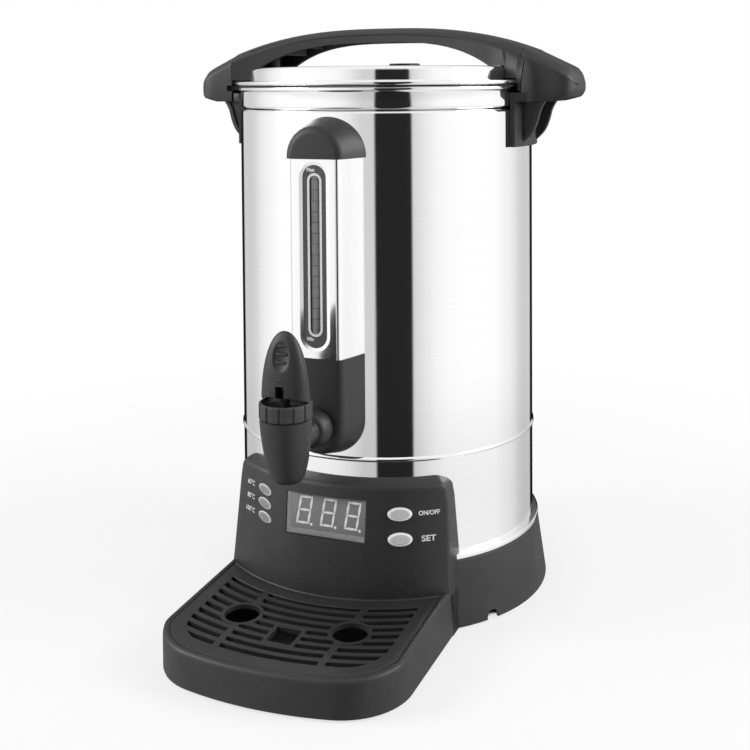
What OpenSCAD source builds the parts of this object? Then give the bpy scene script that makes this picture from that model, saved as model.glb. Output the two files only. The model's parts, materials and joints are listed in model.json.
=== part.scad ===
// Hot water urn with a twist-lock lid, a level gauge, a lever tap, a control console and a drip tray.
// Millimetres, +Z up, front towards -Y. The origin is the middle of the footprint on the floor.
// Pieces are drawn about the body's axis and then moved back as one.

/* [Body] */
// Outer radius of the steel shell
body_r = 108; // [102:1:116]
// Thickness of the shell's sheet steel
shell_wall = 0.8; // [0.6:0.1:1.2]
// Height of the shell between the trim ring and the collar
shell_h = 298; // [270:1:330]
// Height of the bead's middle above the shell's lower edge
bead_rise = 66.4; // [60:0.2:72]
// Height of the bead
bead_h = 3; // [2:0.2:4]
// How far the bead stands out
bead_out = 0.9; // [0.5:0.1:1.4]
// Gap from the shell's outside to the tank's inside
jacket = 10; // [9:0.5:16]
// Thickness of the tank's sheet steel
tank_wall = 0.8; // [0.6:0.1:1.2]
// Height of the tap's axis above the tank floor
tank_sump = 18; // [16:1:24]
// Height of the collar over the shell
collar_h = 14.9; // [13:0.1:20]
// How far the rolled rim stands outside the shell
rim_out = 1.9; // [1.2:0.1:2.4]
// Height of the dark groove between shell and collar
groove_h = 0.6; // [0.4:0.1:1.2]

/* [Base] */
// Height of the rubber feet under the base
foot_h = 1.2; // [0.8:0.1:3]
// Radius of a rubber foot
foot_r = 9; // [6:0.5:11]
// Height of the base skirt
skirt_h = 43.4; // [38:0.2:50]
// How far the skirt's foot stands outside the shell
skirt_flare = 9.9; // [8:0.1:13]
// Wall of the skirt
skirt_wall = 2.6; // [2:0.1:3.5]
// Width of the skirt's inner deck
deck_w = 20; // [16:0.5:26]
// How far the trim ring stands outside the shell
trim_out = 3.9; // [3:0.1:5]
// Height of the trim ring
trim_h = 3.8; // [2.5:0.1:5]
// Width of the arched notch in the skirt's foot
notch_w = 10; // [6:0.5:14]
// Angle of the notch from the front
notch_angle = 58; // [54:1:70]
// Thickness of the base plate
plate_t = 1.2; // [0.8:0.1:2]
// Width of the mains inlet's flange
inlet_w = 32; // [28:0.5:38]
// Height of the mains inlet's flange
inlet_h = 25; // [23:0.5:30]

/* [Lid] */
// How far the lid's flange stands outside the shell
flange_out = 4; // [3:0.1:5]
// Height of the lid's flange
flange_h = 3; // [2:0.1:4]
// Thickness of the lid's gasket
gasket_h = 1.1; // [0.8:0.1:2]
// Width of the flange outside the lid's raised drum
flange_w = 11.2; // [9:0.2:16]
// Height of the raised drum above the flange
drum_h = 9.8; // [7:0.1:14]
// Radius of the steam vent
vent_r = 12; // [8:0.5:16]
// Height of the steam vent above the lid
vent_h = 3.5; // [2:0.1:6]
// How far behind the middle the steam vent sits
vent_back = 40; // [32:1:60]

/* [Handles] */
// Height of the lid handle's top above the lid
bar_rise = 29; // [25:0.5:36]
// Thickness of the lid handle's bar at its middle
bar_t = 10.8; // [9:0.1:13]
// Width of the lid handle's bar at its middle
bar_w = 26; // [22:0.5:32]
// Wall of the hollow bar
bar_wall = 2.6; // [2:0.1:3.5]
// Depth of the grips and of the bar's ends, front to back
grip_depth = 48; // [40:1:54]
// How far the side grips reach outside the shell
grip_out = 39.5; // [34:0.5:46]
// Distance of the seam between bar and grip outside the shell
seam_out = 5.3; // [4.8:0.1:7]
// Slant of that seam
seam_angle = 9.9; // [6:0.1:12]
// How far the grip's bracket runs down the shell
bracket_h = 32; // [26:0.5:40]
// Width of the grip's bracket
bracket_w = 40; // [32:1:44]
// Thickness of the bracket's cheeks
cheek_t = 5; // [3:0.5:7]
// Height of the locking lug
lug_h = 3.4; // [2.6:0.1:4]
// How far the lug reaches past its hook
lug_out = 8; // [5:0.5:10]

/* [Gauge and tap] */
// How far the gauge stands out of the shell
pod_out = 22; // [20:0.5:28]
// Width of the gauge's front
pod_w = 36.5; // [32:0.5:42]
// Flare of the gauge's sides towards the shell
pod_flare = 14.2; // [8:0.2:18]
// Wall of the black gauge parts
pod_wall = 2.4; // [1.8:0.1:3]
// Rounding of the gauge's front edges
pod_edge = 4; // [2.5:0.5:5]
// Height of the tap housing's top above the tap's axis
housing_rise = 44.4; // [40:0.2:60]
// Distance from the cap's top to the shell's upper edge
cap_gap = 3.2; // [2:0.1:12]
// Width of the gauge's oval window
window_w = 16; // [13:0.5:18]
// Width of the slot in the scale plate
scale_slot_w = 6.4; // [5:0.2:8]
// Outer radius of the sight tube
tube_r = 5; // [4:0.1:6]
// Wall of the sight tube
tube_wall = 1; // [0.8:0.1:1.4]
// Distance from the gauge's front to the tap's axis
tap_out = 44; // [40:0.5:54]
// Radius of the tap's shank
shank_r = 8; // [7:0.1:9]
// Radius of the ribbed bonnet
bonnet_r = 16.5; // [15:0.1:19]
// Height of the ribbed bonnet
bonnet_h = 12.2; // [10:0.1:16]
// Height of the bonnet's foot above the tap's axis
bonnet_rise = 16; // [14:0.2:20]
// Distance from the tap's axis down to the nozzle's mouth
nozzle_drop = 21.9; // [18:0.2:24]
// Radius of the nozzle's mouth
nozzle_r = 9.4; // [8.5:0.1:11]
// Radius of the plunger
stem_r = 2.6; // [2.2:0.1:3.2]
// Radius of the lever's cross pin
pin_r = 1.2; // [0.8:0.1:1.4]
// Height of the lever
lever_h = 43; // [36:0.5:54]
// Front to back thickness of the lever's foot
lever_t = 17; // [15:0.5:22]

/* [Console] */
// Height of bare steel between console and bead
console_gap = 10.3; // [6:0.1:16]
// How far the console's face stands outside the shell at its top
face_top_out = 9.5; // [8.5:0.1:13]
// How far the console's face stands outside the shell at its foot
face_foot_out = 18; // [16:0.1:22]
// Drop of the console's roof from the shell to the face
roof_drop = 3.8; // [3:0.1:5]
// Width of the console and tray at the floor
front_w = 164; // [158:1:170]
// Inward slope of their sides
front_draft = 3.4; // [2:0.1:4]
// Wall of the console
console_wall = 2.5; // [2:0.1:3]
// Rounding of the console's upper corners
corner_r = 10; // [6:0.5:14]
// Width of the display window
display_w = 57.5; // [50:0.5:60]
// Height of the display window
display_h = 27.5; // [24:0.5:30]
// Angle of the buttons and lights from the front
panel_angle = 24.6; // [24:0.1:26]
// Width of a button
button_w = 17; // [14:0.5:18]
// Height of a button
button_h = 9.3; // [8:0.1:10]
// Distance between the two buttons
button_pitch = 16; // [14.5:0.5:18]
// Travel of a button
button_travel = 1.5; // [1:0.1:2]
// Width of an indicator light
lamp_w = 14.5; // [11:0.5:16]
// Height of an indicator light
lamp_h = 7.2; // [5:0.1:8]
// Distance between indicator lights
lamp_pitch = 8.9; // [8:0.1:11]

/* [Drip tray] */
// How far the tray reaches in front of the shell
tray_reach = 114; // [104:1:126]
// Corner radius of the tray
tray_corner = 44; // [36:1:52]
// Height of the tray's rim at its front
tray_h = 23; // [20:0.2:27]
// Fall of the tray towards its front
tray_slope = 3; // [1:0.1:4]
// Width of the tray's rim
rim_w = 8; // [6.5:0.1:10]
// Thickness of the tray's floor and walls
tray_wall = 2.5; // [2:0.1:3]
// Thickness of the grille
grille_t = 3; // [2.4:0.1:4]
// Width of a grille slot
slot_w = 4.2; // [3:0.1:5]
// Width of the ribs between slots
rib_w = 3.8; // [3:0.1:5]
// Width of the grille's long bars and of the rims around its holes
bar_rib_w = 4.4; // [3:0.1:6]
// Distance of the long bars from the middle
bar_x = 35; // [30:0.5:40]
// Diameter of the round holes in the grille
cup_hole_d = 22.8; // [18:0.2:26]
// Size of the square hole in the grille
square_hole = 17; // [14:0.5:20]

/* [Hidden] */
$fn = 96;

// Colours
steel = [0.80, 0.81, 0.82];
black = [0.16, 0.16, 0.17];
rubber = [0.10, 0.10, 0.11];
silicone = [0.75, 0.76, 0.76];
grey = [0.68, 0.69, 0.70];
board_green = [0.13, 0.32, 0.20];
zinc = [0.62, 0.63, 0.65];

// Clearances: parts that move, parts that only meet, and a running bore
run_gap = 0.4;
fit_gap = 0.2;
bore_gap = 0.05;
seat_gap = 0.1;
// A little more than a cut's own depth
over = 1;

// Heights from the floor up
base_z = foot_h;
skirt_top = base_z + skirt_h;
trim_top = skirt_top + trim_h;
shell_top = trim_top + shell_h;
bead_z = trim_top + bead_rise;
collar_z = shell_top + groove_h;
rim_z = collar_z + collar_h;
gasket_z = rim_z + fit_gap;
flange_z = gasket_z + gasket_h;
flange_top = flange_z + flange_h;
lid_top = flange_top + drum_h;
bar_top = lid_top + bar_rise;

// Radii about the body's axis
skirt_r = body_r + skirt_flare;
trim_r = body_r + trim_out;
rim_r = body_r + rim_out;
flange_r = body_r + flange_out;
drum_r = flange_r - flange_w;
collar_r = body_r - 0.3;
tank_r = body_r - jacket;
deck_r = trim_r - deck_w;
tray_r = body_r + tray_reach;

// Gauge and tap
pod_gap = 0.8;
pod_y = -(body_r + pod_out);
pod_half = pod_w / 2;
pod_sag = body_r - sqrt(pow(body_r, 2) - pow(pod_half + pod_out * tan(pod_flare), 2));
pod_foot_half = pod_half + (pod_out + pod_sag) * tan(pod_flare);
pod_depth = pod_out + 2 * pod_sag;
tap_z = bead_z + bead_h / 2 + pod_gap + pod_foot_half;
housing_top = tap_z + housing_rise;
cap_straight = 1.4;
cap_over = 1.6;
cover_top = shell_top - cap_gap - pod_foot_half - cap_straight;
cover_wall = 0.8;
seal_wall = 1.8;
socket_wall = 1.6;
tube_y = pod_y + pod_wall + fit_gap + tube_r + seal_wall + socket_wall;
seal_h = 10;
scale_t = 1.2;
window_z0 = housing_top + 7;
window_z1 = cover_top - 4;
scale_z0 = window_z0 + 9;
scale_z1 = window_z1 - 7;
tap_y = pod_y - tap_out;
floor_z = tap_z - tank_sump;
floor_ledge = 5;

// Manifold
pipe_r = shank_r + 1.4;
pipe_bore = 5.5;
socket_h = 26;
manifold_front = pod_y + pod_wall + 1.6;
nut_t = 6;
nut_r = pipe_r + 6;
washer_t = 2.5;
pipe_end = tank_r - washer_t - nut_t - 2;

// Tap
nozzle_z = tap_z - nozzle_drop;
bonnet_z = tap_z + bonnet_rise;
bonnet_top = bonnet_z + bonnet_h;
nozzle_lean = 2;
nozzle_swell = 0.72;
neck_r = bonnet_r - 3.6;
neck_h = bonnet_h * 0.5;
chamber_r = nozzle_r - 0.9;
seat_z = tap_z - 6.6;
seat_bore = 4.8;
cup_h = 5;
lever_gap = 0.6;
lever_z = bonnet_top + lever_gap;
lever_half = bonnet_r - 0.6;
head_r = stem_r + 0.7;
pin_z = lever_z + head_r + 3.9;
fork_w = 2 * head_r + 2 * run_gap;
lever_slot_w = 2 * stem_r + 2 * run_gap;
lever_slot_h = 10;
lever_cut = 22;
groove_count = 12;

// Console
console_top = bead_z - bead_h / 2 - console_gap;
face_top = console_top - roof_drop;
face_top_r = body_r + face_top_out;
face_foot_r = body_r + face_foot_out;
tray_rear_z = base_z + tray_h + (tray_r - face_foot_r) * tan(tray_slope);
face_tilt = atan((face_foot_r - face_top_r) / (face_top - tray_rear_z));
panel_z = (face_top + tray_rear_z) / 2 + 13.5;
button_z = panel_z - 3;
lamp_z = button_z + 3.4;
lens_t = 2;
lens_lip = 1.2;
recess = face_r(panel_z) - sqrt(pow(face_r(panel_z), 2) - pow(display_w / 2 + lens_lip + 0.4, 2));
module_t = 8;
board_t = 1.6;
switch_depth = 12;
post_r = 2.6;
screw_r = 1.4;
screw_head_r = 2.6;
screw_head_h = 1.8;

// Tray and grille
grille_ledge = 3;
grille_drop = 0.6;
grille_inset = rim_w + fit_gap + 0.2;
grille_back_r = face_foot_r + 5.5;
grille_edge = 6.4;
row_pitch = slot_w + rib_w;
rows = floor((tray_r - grille_inset - 2 * grille_edge - grille_back_r + rib_w) / row_pitch);
cup_x = bar_x + 2.4;
cup_y = -(grille_back_r + tray_r - grille_inset) / 2 + 9;
square_y = cup_y - 16;

// Inlet and its pad at the back of the skirt
inlet_z = base_z + skirt_h / 2;
pad_y = skirt_r + 0.5;
inlet_t = 2;
rear_y = pad_y + inlet_t;
axis_y = (tray_r - rear_y) / 2;

// Lid handle and grips
seam_x = body_r + seam_out;
grip_x = body_r + grip_out;
hook_t = 3.4;
hook_r = flange_r + run_gap + hook_t;
lug_r = hook_r + lug_out;
lug_z = rim_z - lug_h + 1;
hook_top = lid_top + 4;
hook_low = rim_z - 4.4;
grip_top = lid_top + 12.4;
grip_under = rim_z - 10.9;
bar_sag = bar_top - grip_top;
bar_power = 2.7;
foot_in = 9.8;
leg_slant = 15.6;
screw_x = drum_r - 8;

function arc(c, r, a0, a1, n = 12) =
  [for (i = [0:n]) let(a = a0 + (a1 - a0) * i / n) c + r * [cos(a), sin(a)]];
function flip(pts) = [for (i = [len(pts) - 1:-1:0]) [-pts[i][0], pts[i][1]]];
function ellipse(w, h, n = 36) = [for (i = [0:n - 1]) [w / 2 * cos(360 * i / n), h / 2 * sin(360 * i / n)]];
function face_r(z) = face_top_r + (face_top - z) * (face_foot_r - face_top_r) / (face_top - tray_rear_z);
function bar_z(x) = bar_top - bar_sag * pow(abs(x) / seam_x, bar_power);
function under_z(x) = bar_top - bar_t - (bar_rise - bar_t) * pow(abs(x) / (drum_r - foot_in), 3.2);
function bar_half(x, w) = w / 2 + (grip_depth - bar_w) / 2 * pow(abs(x) / seam_x, 2);

// Moves a piece from the body's axis to the footprint's frame
module about_axis() {
  translate([0, axis_y, 0]) children();
}

// Ring turned from a profile, over the whole circle
module turned(points) {
  rotate_extrude($fn = 180) polygon(points);
}

// A rod along Y, from y0 to y1, at height z
module rod_y(r, y0, y1, z, x = 0) {
  translate([x, y0, z]) rotate([-90, 0, 0]) cylinder(r = r, h = y1 - y0);
}

// A rod straight up
module rod_z(r, z0, z1, x = 0, y = 0) {
  translate([x, y, z0]) cylinder(r = r, h = z1 - z0);
}

// A box given by its middle in X and its limits in Y and Z
module block(w, y0, y1, z0, z1) {
  translate([-w / 2, y0, z0]) cube([w, y1 - y0, z1 - z0]);
}

// A profile drawn in X and Z, pushed along Y
module push_y(points, y0, y1) {
  translate([0, y1, 0]) rotate([90, 0, 0]) linear_extrude(y1 - y0) polygon(points);
}

// Puts a shape on the console's face, with -Y pointing out of the face
module on_face(angle, z) {
  rotate([0, 0, angle]) translate([0, -face_r(z), z]) rotate([-face_tilt, 0, 0]) children();
}

// Steel shell with a rolled bead, holes for pipe and screws, and a cut-out behind the console
module outer_shell() {
  top_r = 2;
  inner = body_r - shell_wall;
  outline = concat(
    [[inner, trim_top], [body_r, trim_top]],
    [for (i = [0:8]) [body_r + bead_out * sin(180 * i / 8), bead_z + bead_h * (i / 8 - 0.5)]],
    arc([body_r - top_r, shell_top - top_r], top_r, 0, 90, 6),
    [[body_r - 5, shell_top], [body_r - 5, shell_top - shell_wall]],
    arc([body_r - top_r, shell_top - top_r], top_r - shell_wall, 90, 0, 6));
  color(steel) difference() {
    turned(outline);
    rod_y(pipe_r + fit_gap, -body_r - over, 0, tap_z);
    block(2 * cutout_half, -body_r - over, 0, trim_top + 3, face_top - 6);
    for (side = [-1, 1]) for (z = grip_screw_z()) grip_hole(side, z, screw_r + fit_gap);
  }
}

// Heights of the screws that hold a grip's bracket
function grip_screw_z() = [grip_under - bracket_h + 8, grip_under - 13];

// A hole along X in the wall behind a grip
module grip_hole(side, z, r) {
  translate([side * (body_r - 8), 0, z]) rotate([0, side * 90, 0]) cylinder(r = r, h = 20);
}

// Tank wall with a ledge for its floor, a rolled rim and the collar over the shell
module inner_tank() {
  out_r = tank_r + tank_wall;
  low = 2.5;
  outline = concat(
    [[tank_r - floor_ledge, floor_z - 2 * tank_wall], [out_r, floor_z - 2 * tank_wall],
     [out_r, rim_z - 2 * tank_wall], [collar_r - tank_wall, rim_z - 2 * tank_wall],
     [collar_r - tank_wall, collar_z + low], [collar_r - low, collar_z]],
    arc([collar_r - low, collar_z + low], low, -60, 0, 5),
    [[collar_r, rim_z - 3.4], [rim_r, rim_z - 2.4], [rim_r, rim_z - 0.8], [rim_r - 0.8, rim_z],
     [tank_r + 1.5, rim_z], [tank_r, rim_z - 1.5], [tank_r, floor_z - tank_wall],
     [tank_r - floor_ledge, floor_z - tank_wall]]);
  color(steel) difference() {
    turned(outline);
    rod_y(pipe_r + fit_gap, -tank_r - 4, 0, tap_z);
  }
}

// Round floor that lies on the wall's ledge
module tank_floor() {
  color(steel) rod_z(tank_r - bore_gap, floor_z - tank_wall + bore_gap, floor_z);
}

// Bright ring that the shell stands on
module trim_ring() {
  edge = 1;
  color(steel) turned(concat(
    [[body_r - 6, skirt_top], [trim_r - edge, skirt_top]],
    arc([trim_r - edge, skirt_top + edge], edge, -90, 0, 4),
    arc([trim_r - edge, trim_top - edge], edge, 0, 90, 4),
    [[body_r - 6, trim_top]]));
}

// Outline of console and tray seen from the front, narrowed by an inset
module front_prism(inset, y0, y1) {
  half = front_w / 2 - inset;
  rise = console_top - inset - base_z;
  lean = tan(front_draft);
  round_r = corner_r - inset;
  top_half = half - (rise - round_r) * lean - round_r;
  right = concat(
    [[half + base_z * lean, base_z - over]],
    arc([top_half, base_z + rise - round_r], round_r, front_draft, 90, 8));
  push_y(concat(right, flip(right)), y0, y1);
}

// Where a base screw or its post stands, as angles from the front
post_angles = [72, 130, 230, 288];
post_ring = deck_r + 6;

module at_posts() {
  for (a = post_angles) rotate([0, 0, a - 90]) translate([post_ring, 0, 0]) children();
}

// Flared black base with an inner deck, screw posts, notches and a pad for the inlet
module base_skirt() {
  slope = (skirt_r - trim_r) / skirt_h;
  ring_top = trim_r - 0.2;
  deck_t = 2.5;
  plate_top = base_z + 2 * plate_t;
  pad_w = inlet_w + 4;
  color(black) difference() {
    union() {
      turned([[ring_top - skirt_wall, skirt_top], [ring_top, skirt_top], [skirt_r, base_z],
        [skirt_r - skirt_wall, base_z]]);
      turned([[deck_r, skirt_top - deck_t], [ring_top - 1, skirt_top - deck_t], [ring_top - 1, skirt_top],
        [deck_r, skirt_top]]);
      at_posts() rod_z(4, plate_top, skirt_top - deck_t / 2);
      intersection() {
        block(pad_w, body_r - 4, pad_y, inlet_z - inlet_h / 2 - 2, inlet_z + inlet_h / 2 + 2);
        difference() {
          rod_z(skirt_r + 20, base_z, skirt_top);
          turned([[0, base_z - over], [skirt_r - skirt_wall, base_z - over],
            [ring_top - skirt_wall, skirt_top], [0, skirt_top]]);
        }
      }
    }
    front_prism(-fit_gap, -skirt_r - over, 0);
    at_posts() rod_z(screw_r, plate_top - over, plate_top + 14);
    for (side = [-1, 1]) rotate([0, 0, side * notch_angle]) {
      block(notch_w, -skirt_r - over, -skirt_r + 12, base_z - over, base_z + 1);
      rod_y(notch_w / 2, -skirt_r - over, -skirt_r + 12, base_z + 1);
    }
    block(inlet_w - 8, body_r - 10, rear_y + over, inlet_z - inlet_h / 2 + 3, inlet_z + inlet_h / 2 - 3);
  }
}

// Bottom cover with a ring of vent slots
module base_plate() {
  edge_gap = 0.6;
  color(zinc) difference() {
    union() {
      rod_z(skirt_r - skirt_wall - edge_gap, base_z + plate_t, base_z + 2 * plate_t);
      intersection() {
        rod_z(face_foot_r - console_wall - edge_gap, base_z + plate_t, base_z + 2 * plate_t);
        front_prism(console_wall + edge_gap, -face_foot_r, 0);
      }
    }
    at_posts() rod_z(screw_r + fit_gap, base_z, base_z + 3 * plate_t);
    rod_z(tie_r + fit_gap, base_z, base_z + 3 * plate_t);
    for (a = [0:30:330]) rotate([0, 0, a]) block(5, 30, 62, base_z, base_z + 3 * plate_t);
  }
}

module base_screws() {
  color(zinc) at_posts() screw_up(base_z + plate_t, 12);
}

// A pan-head screw pointing up, its head under height z
module screw_up(z, length) {
  rod_z(screw_head_r, z - 0.9, z);
  rod_z(screw_r - bore_gap, z - 0.1, z + length);
}

// Four feet under the base plate and two under the tray's front
module feet() {
  color(rubber) {
    for (a = [45:90:315]) rotate([0, 0, a + 6]) translate([deck_r - 16, 0, 0]) foot(base_z + plate_t);
    for (side = [-1, 1])
      translate([side * (front_w / 2 - tray_corner), -(tray_r - tray_corner - foot_r), 0]) foot(base_z);
  }
}

module foot(top) {
  turned_foot = [[0, 0], [foot_r - 1, 0], [foot_r, 0.6], [foot_r, top], [0, top]];
  rotate_extrude($fn = 48) polygon(turned_foot);
}

// Mains inlet: flange on the skirt's pad, a socket and three flat pins
module power_inlet() {
  mouth_w = inlet_w - 12;
  mouth_h = inlet_h - 10;
  depth = 16;
  pin_back = 6;
  back = rear_y - depth - 2;
  color(black) {
    difference() {
      union() {
        block(inlet_w, pad_y + seat_gap / 2, rear_y, inlet_z - inlet_h / 2, inlet_z + inlet_h / 2);
        block(inlet_w - 8.6, back, pad_y + seat_gap,
          inlet_z - inlet_h / 2 + 3.3, inlet_z + inlet_h / 2 - 3.3);
      }
      block(mouth_w, back + 2, rear_y + over, inlet_z - mouth_h / 2, inlet_z + mouth_h / 2);
    }
    for (pin = [[-5.5, -2], [0, 3], [5.5, -2]]) translate([pin[0], 0, pin[1]])
      block(2, back + 1, rear_y - pin_back, inlet_z - 2, inlet_z + 2);
  }
}

// Supply board on the base plate, with a transformer and a relay
module power_board() {
  z = base_z + 2 * plate_t;
  stand = 6;
  color(board_green) translate([0, body_r - 72, 0]) {
    block(80, 0, 50, z + stand, z + stand + board_t);
    for (x = [-34, 34]) for (y = [6, 44]) rod_z(2.4, z, z + stand, x, y);
    translate([-20, 0, 0]) block(26, 12, 36, z + stand + board_t, z + stand + board_t + 20);
    translate([20, 0, 0]) block(18, 14, 32, z + stand + board_t, z + stand + board_t + 15);
  }
}

heater_t = 7;
heater_z = floor_z - tank_wall;
element_r = 3.3;
element_ring = tank_r * 0.55;
tie_r = 3;
cutout_ring = 24;

// Cast plate under the tank floor, with the groove of its element
module heater_plate() {
  color(zinc) difference() {
    rod_z(tank_r * 0.72, heater_z - heater_t, heater_z - seat_gap / 2);
    rotate_extrude($fn = 96) translate([element_ring, heater_z - heater_t]) circle(element_r + bore_gap);
    rod_z(tie_r - bore_gap, heater_z - heater_t - over, heater_z - 1);
  }
}

// Tubular element in the plate's groove, with two cold ends
module heater_element() {
  color(grey) {
    rotate_extrude($fn = 96) translate([element_ring, heater_z - heater_t]) circle(element_r);
    for (x = [-8, 8])
      rod_z(2.4, heater_z - heater_t - 22, heater_z - heater_t, x, sqrt(pow(element_ring, 2) - 64));
  }
}

module thermal_cutout() {
  color(black) {
    rod_z(9, heater_z - heater_t - 5, heater_z - heater_t - bore_gap, cutout_ring, 0);
    translate([cutout_ring, 0, 0]) block(14, -5, 5, heater_z - heater_t - 12, heater_z - heater_t - 5);
  }
}

module temperature_sensor() {
  color(zinc) {
    rod_z(5, heater_z - heater_t - 3, heater_z - heater_t - bore_gap, -cutout_ring, 0);
    rod_z(2.5, heater_z - heater_t - 16, heater_z - heater_t - 2, -cutout_ring, 0);
  }
}

// Stud from the heater plate down through the base plate
module tie_rod() {
  color(zinc) {
    rod_z(tie_r, base_z + 0.2, heater_z - heater_t);
    rod_z(tie_r - 2 * bore_gap, heater_z - heater_t, heater_z - 1.2);
  }
}

module tie_nut() {
  color(zinc) difference() {
    rotate([0, 0, 15]) translate([0, 0, base_z + 2 * plate_t]) cylinder(r = 6.5, h = 5, $fn = 6);
    rod_z(tie_r + bore_gap, base_z, base_z + 30);
  }
}

// Pressed lid: drum, flange with a rounded edge and a skirt that drops into the tank
module lid() {
  edge = flange_h / 2;
  wall = 0.8;
  round_r = 3;
  skirt_in = tank_r - 1.2;
  color(steel) difference() {
    turned(concat(
      [[0, lid_top]],
      arc([drum_r - round_r, lid_top - round_r], round_r, 90, 0, 6),
      [[drum_r, flange_top]],
      arc([flange_r - edge, flange_z + edge], edge, 90, -90, 8),
      [[skirt_in, flange_z], [skirt_in, flange_z - 8], [skirt_in - wall, flange_z - 8],
       [skirt_in - wall, flange_z + wall], [drum_r - wall, flange_z + 2]],
      arc([drum_r - round_r, lid_top - round_r], round_r - wall, 0, 90, 6),
      [[0, lid_top - wall]]));
    for (x = [-screw_x, screw_x]) rod_z(screw_r + fit_gap, lid_top - 4, lid_top + over, x, 0);
    rod_z(vent_r * 0.4, lid_top - 4, lid_top + over, 0, vent_back);
  }
}

module lid_gasket() {
  color(rubber)
    turned([[tank_r + 3, gasket_z], [rim_r - 1, gasket_z], [rim_r - 1, flange_z], [tank_r + 3, flange_z]]);
}

// Steam vent: a low cap with side ports over a tube through the lid
module vent_cap() {
  color(black) translate([0, vent_back, 0]) difference() {
    union() {
      turned_cap = concat([[0, lid_top + bore_gap], [vent_r, lid_top + bore_gap]],
        arc([vent_r - 1.2, lid_top + vent_h - 1.2], 1.2, 0, 90, 4), [[0, lid_top + vent_h]]);
      rotate_extrude($fn = 64) polygon(turned_cap);
      rod_z(vent_r * 0.4 - fit_gap, lid_top - 5, lid_top + 1);
    }
    rod_z(vent_r * 0.22, lid_top - 6, lid_top + vent_h - 1);
    for (a = [0:60:300]) rotate([0, 0, a]) block(1.6, 0, vent_r + over, lid_top + 1, lid_top + vent_h - 1.2);
  }
}

// The bar seen from the front: arched above, with a slanted arch for the fingers cut out below
module bar_profile() {
  leg = drum_r - foot_in;
  reach = seam_x + 7;
  foot_z = lid_top + fit_gap;
  upper = [for (i = [0:32]) let(x = reach * (1 - i / 16)) [x, bar_z(x)]];
  lower = [for (i = [-12:12]) let(x = leg * i / 12) [x * cos(leg_slant), under_z(x)]];
  sill = [for (side = [1, -1]) [side * leg * cos(leg_slant), foot_z - over]];
  difference() {
    push_y(concat([[-reach, foot_z], [reach, foot_z]], upper), -grip_depth, grip_depth);
    rotate([0, 0, -leg_slant]) push_y(concat(lower, sill), -grip_depth, grip_depth);
  }
}

// The hollow in the bar, open below
module bar_hollow() {
  reach = drum_r + 4;
  upper = [for (i = [0:24]) let(x = reach * (1 - i / 12)) [x, bar_z(x) - bar_wall]];
  push_y(concat([[-reach, lid_top - over], [reach, lid_top - over]], upper), -grip_depth, grip_depth);
}

// The bar's plan: narrow in the middle and as deep as the grips at its ends
module bar_plan(inset) {
  pts = [for (i = [0:24]) let(x = grip_x * (i / 12 - 1)) [x, bar_half(min(abs(x), seam_x), bar_w) - inset]];
  translate([0, 0, lid_top - 40]) linear_extrude(120)
    polygon(concat(pts, [for (i = [24:-1:0]) [pts[i][0], -pts[i][1]]]));
}

// Space outside the slanted seam on the right-hand end, moved out by a gap
module past_seam(gap) {
  translate([seam_x + gap, 0, 0]) rotate([0, 0, -seam_angle])
    translate([0, -80, rim_z - 60]) cube([80, 160, 140]);
}

// Does the same at both ends, as the handle is the same when turned half round
module both_ends() {
  for (a = [0, 180]) rotate([0, 0, a]) children();
}

// Part of a ring about the body's axis between two angles
module ring_part(r0, r1, z0, z1, a0, a1) {
  rotate([0, 0, a0]) rotate_extrude(angle = a1 - a0, $fn = 180)
    translate([r0, z0]) square([r1 - r0, z1 - z0]);
}

hook_a0 = -4;
hook_a1 = 10;

// Arched bar with a hollow underside, ribs, hooks round the flange and a lug on each hook
module lid_handle() {
  rib_t = 2;
  boss_r = 4;
  color(black) {
    difference() {
      union() {
        intersection() {
          bar_profile();
          bar_plan(0);
        }
        for (x = [-screw_x, screw_x]) rod_z(boss_r, lid_top + fit_gap, bar_z(screw_x) - bar_wall, x, 0);
      }
      both_ends() past_seam(-run_gap / 2);
      difference() {
        intersection() {
          bar_hollow();
          bar_plan(bar_wall);
        }
        for (x = [-60:30:60]) translate([x, 0, 0]) block(rib_t, -grip_depth, grip_depth, lid_top, bar_top);
        for (x = [-screw_x, screw_x]) rod_z(boss_r, lid_top - over, bar_top, x, 0);
      }
      for (x = [-screw_x, screw_x]) rod_z(screw_r, lid_top - over, lid_top + 9, x, 0);
    }
    both_ends() {
      ring_part(drum_r + run_gap, hook_r, flange_top + run_gap, hook_top - run_gap, hook_a0, hook_a1);
      ring_part(flange_r + run_gap, hook_r, lug_z, flange_top + 1, hook_a0, hook_a1);
      ring_part(hook_r - 1, lug_r, lug_z, lug_z + lug_h, 0, hook_a1 - 1);
    }
  }
}

module lid_handle_screws() {
  color(zinc) for (x = [-screw_x, screw_x]) translate([x, 0, 0]) {
    rod_z(screw_head_r, lid_top - 0.8 - screw_head_h, lid_top - 0.8);
    rod_z(screw_r - bore_gap, lid_top - 0.9, lid_top + 8.5);
  }
}

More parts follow.
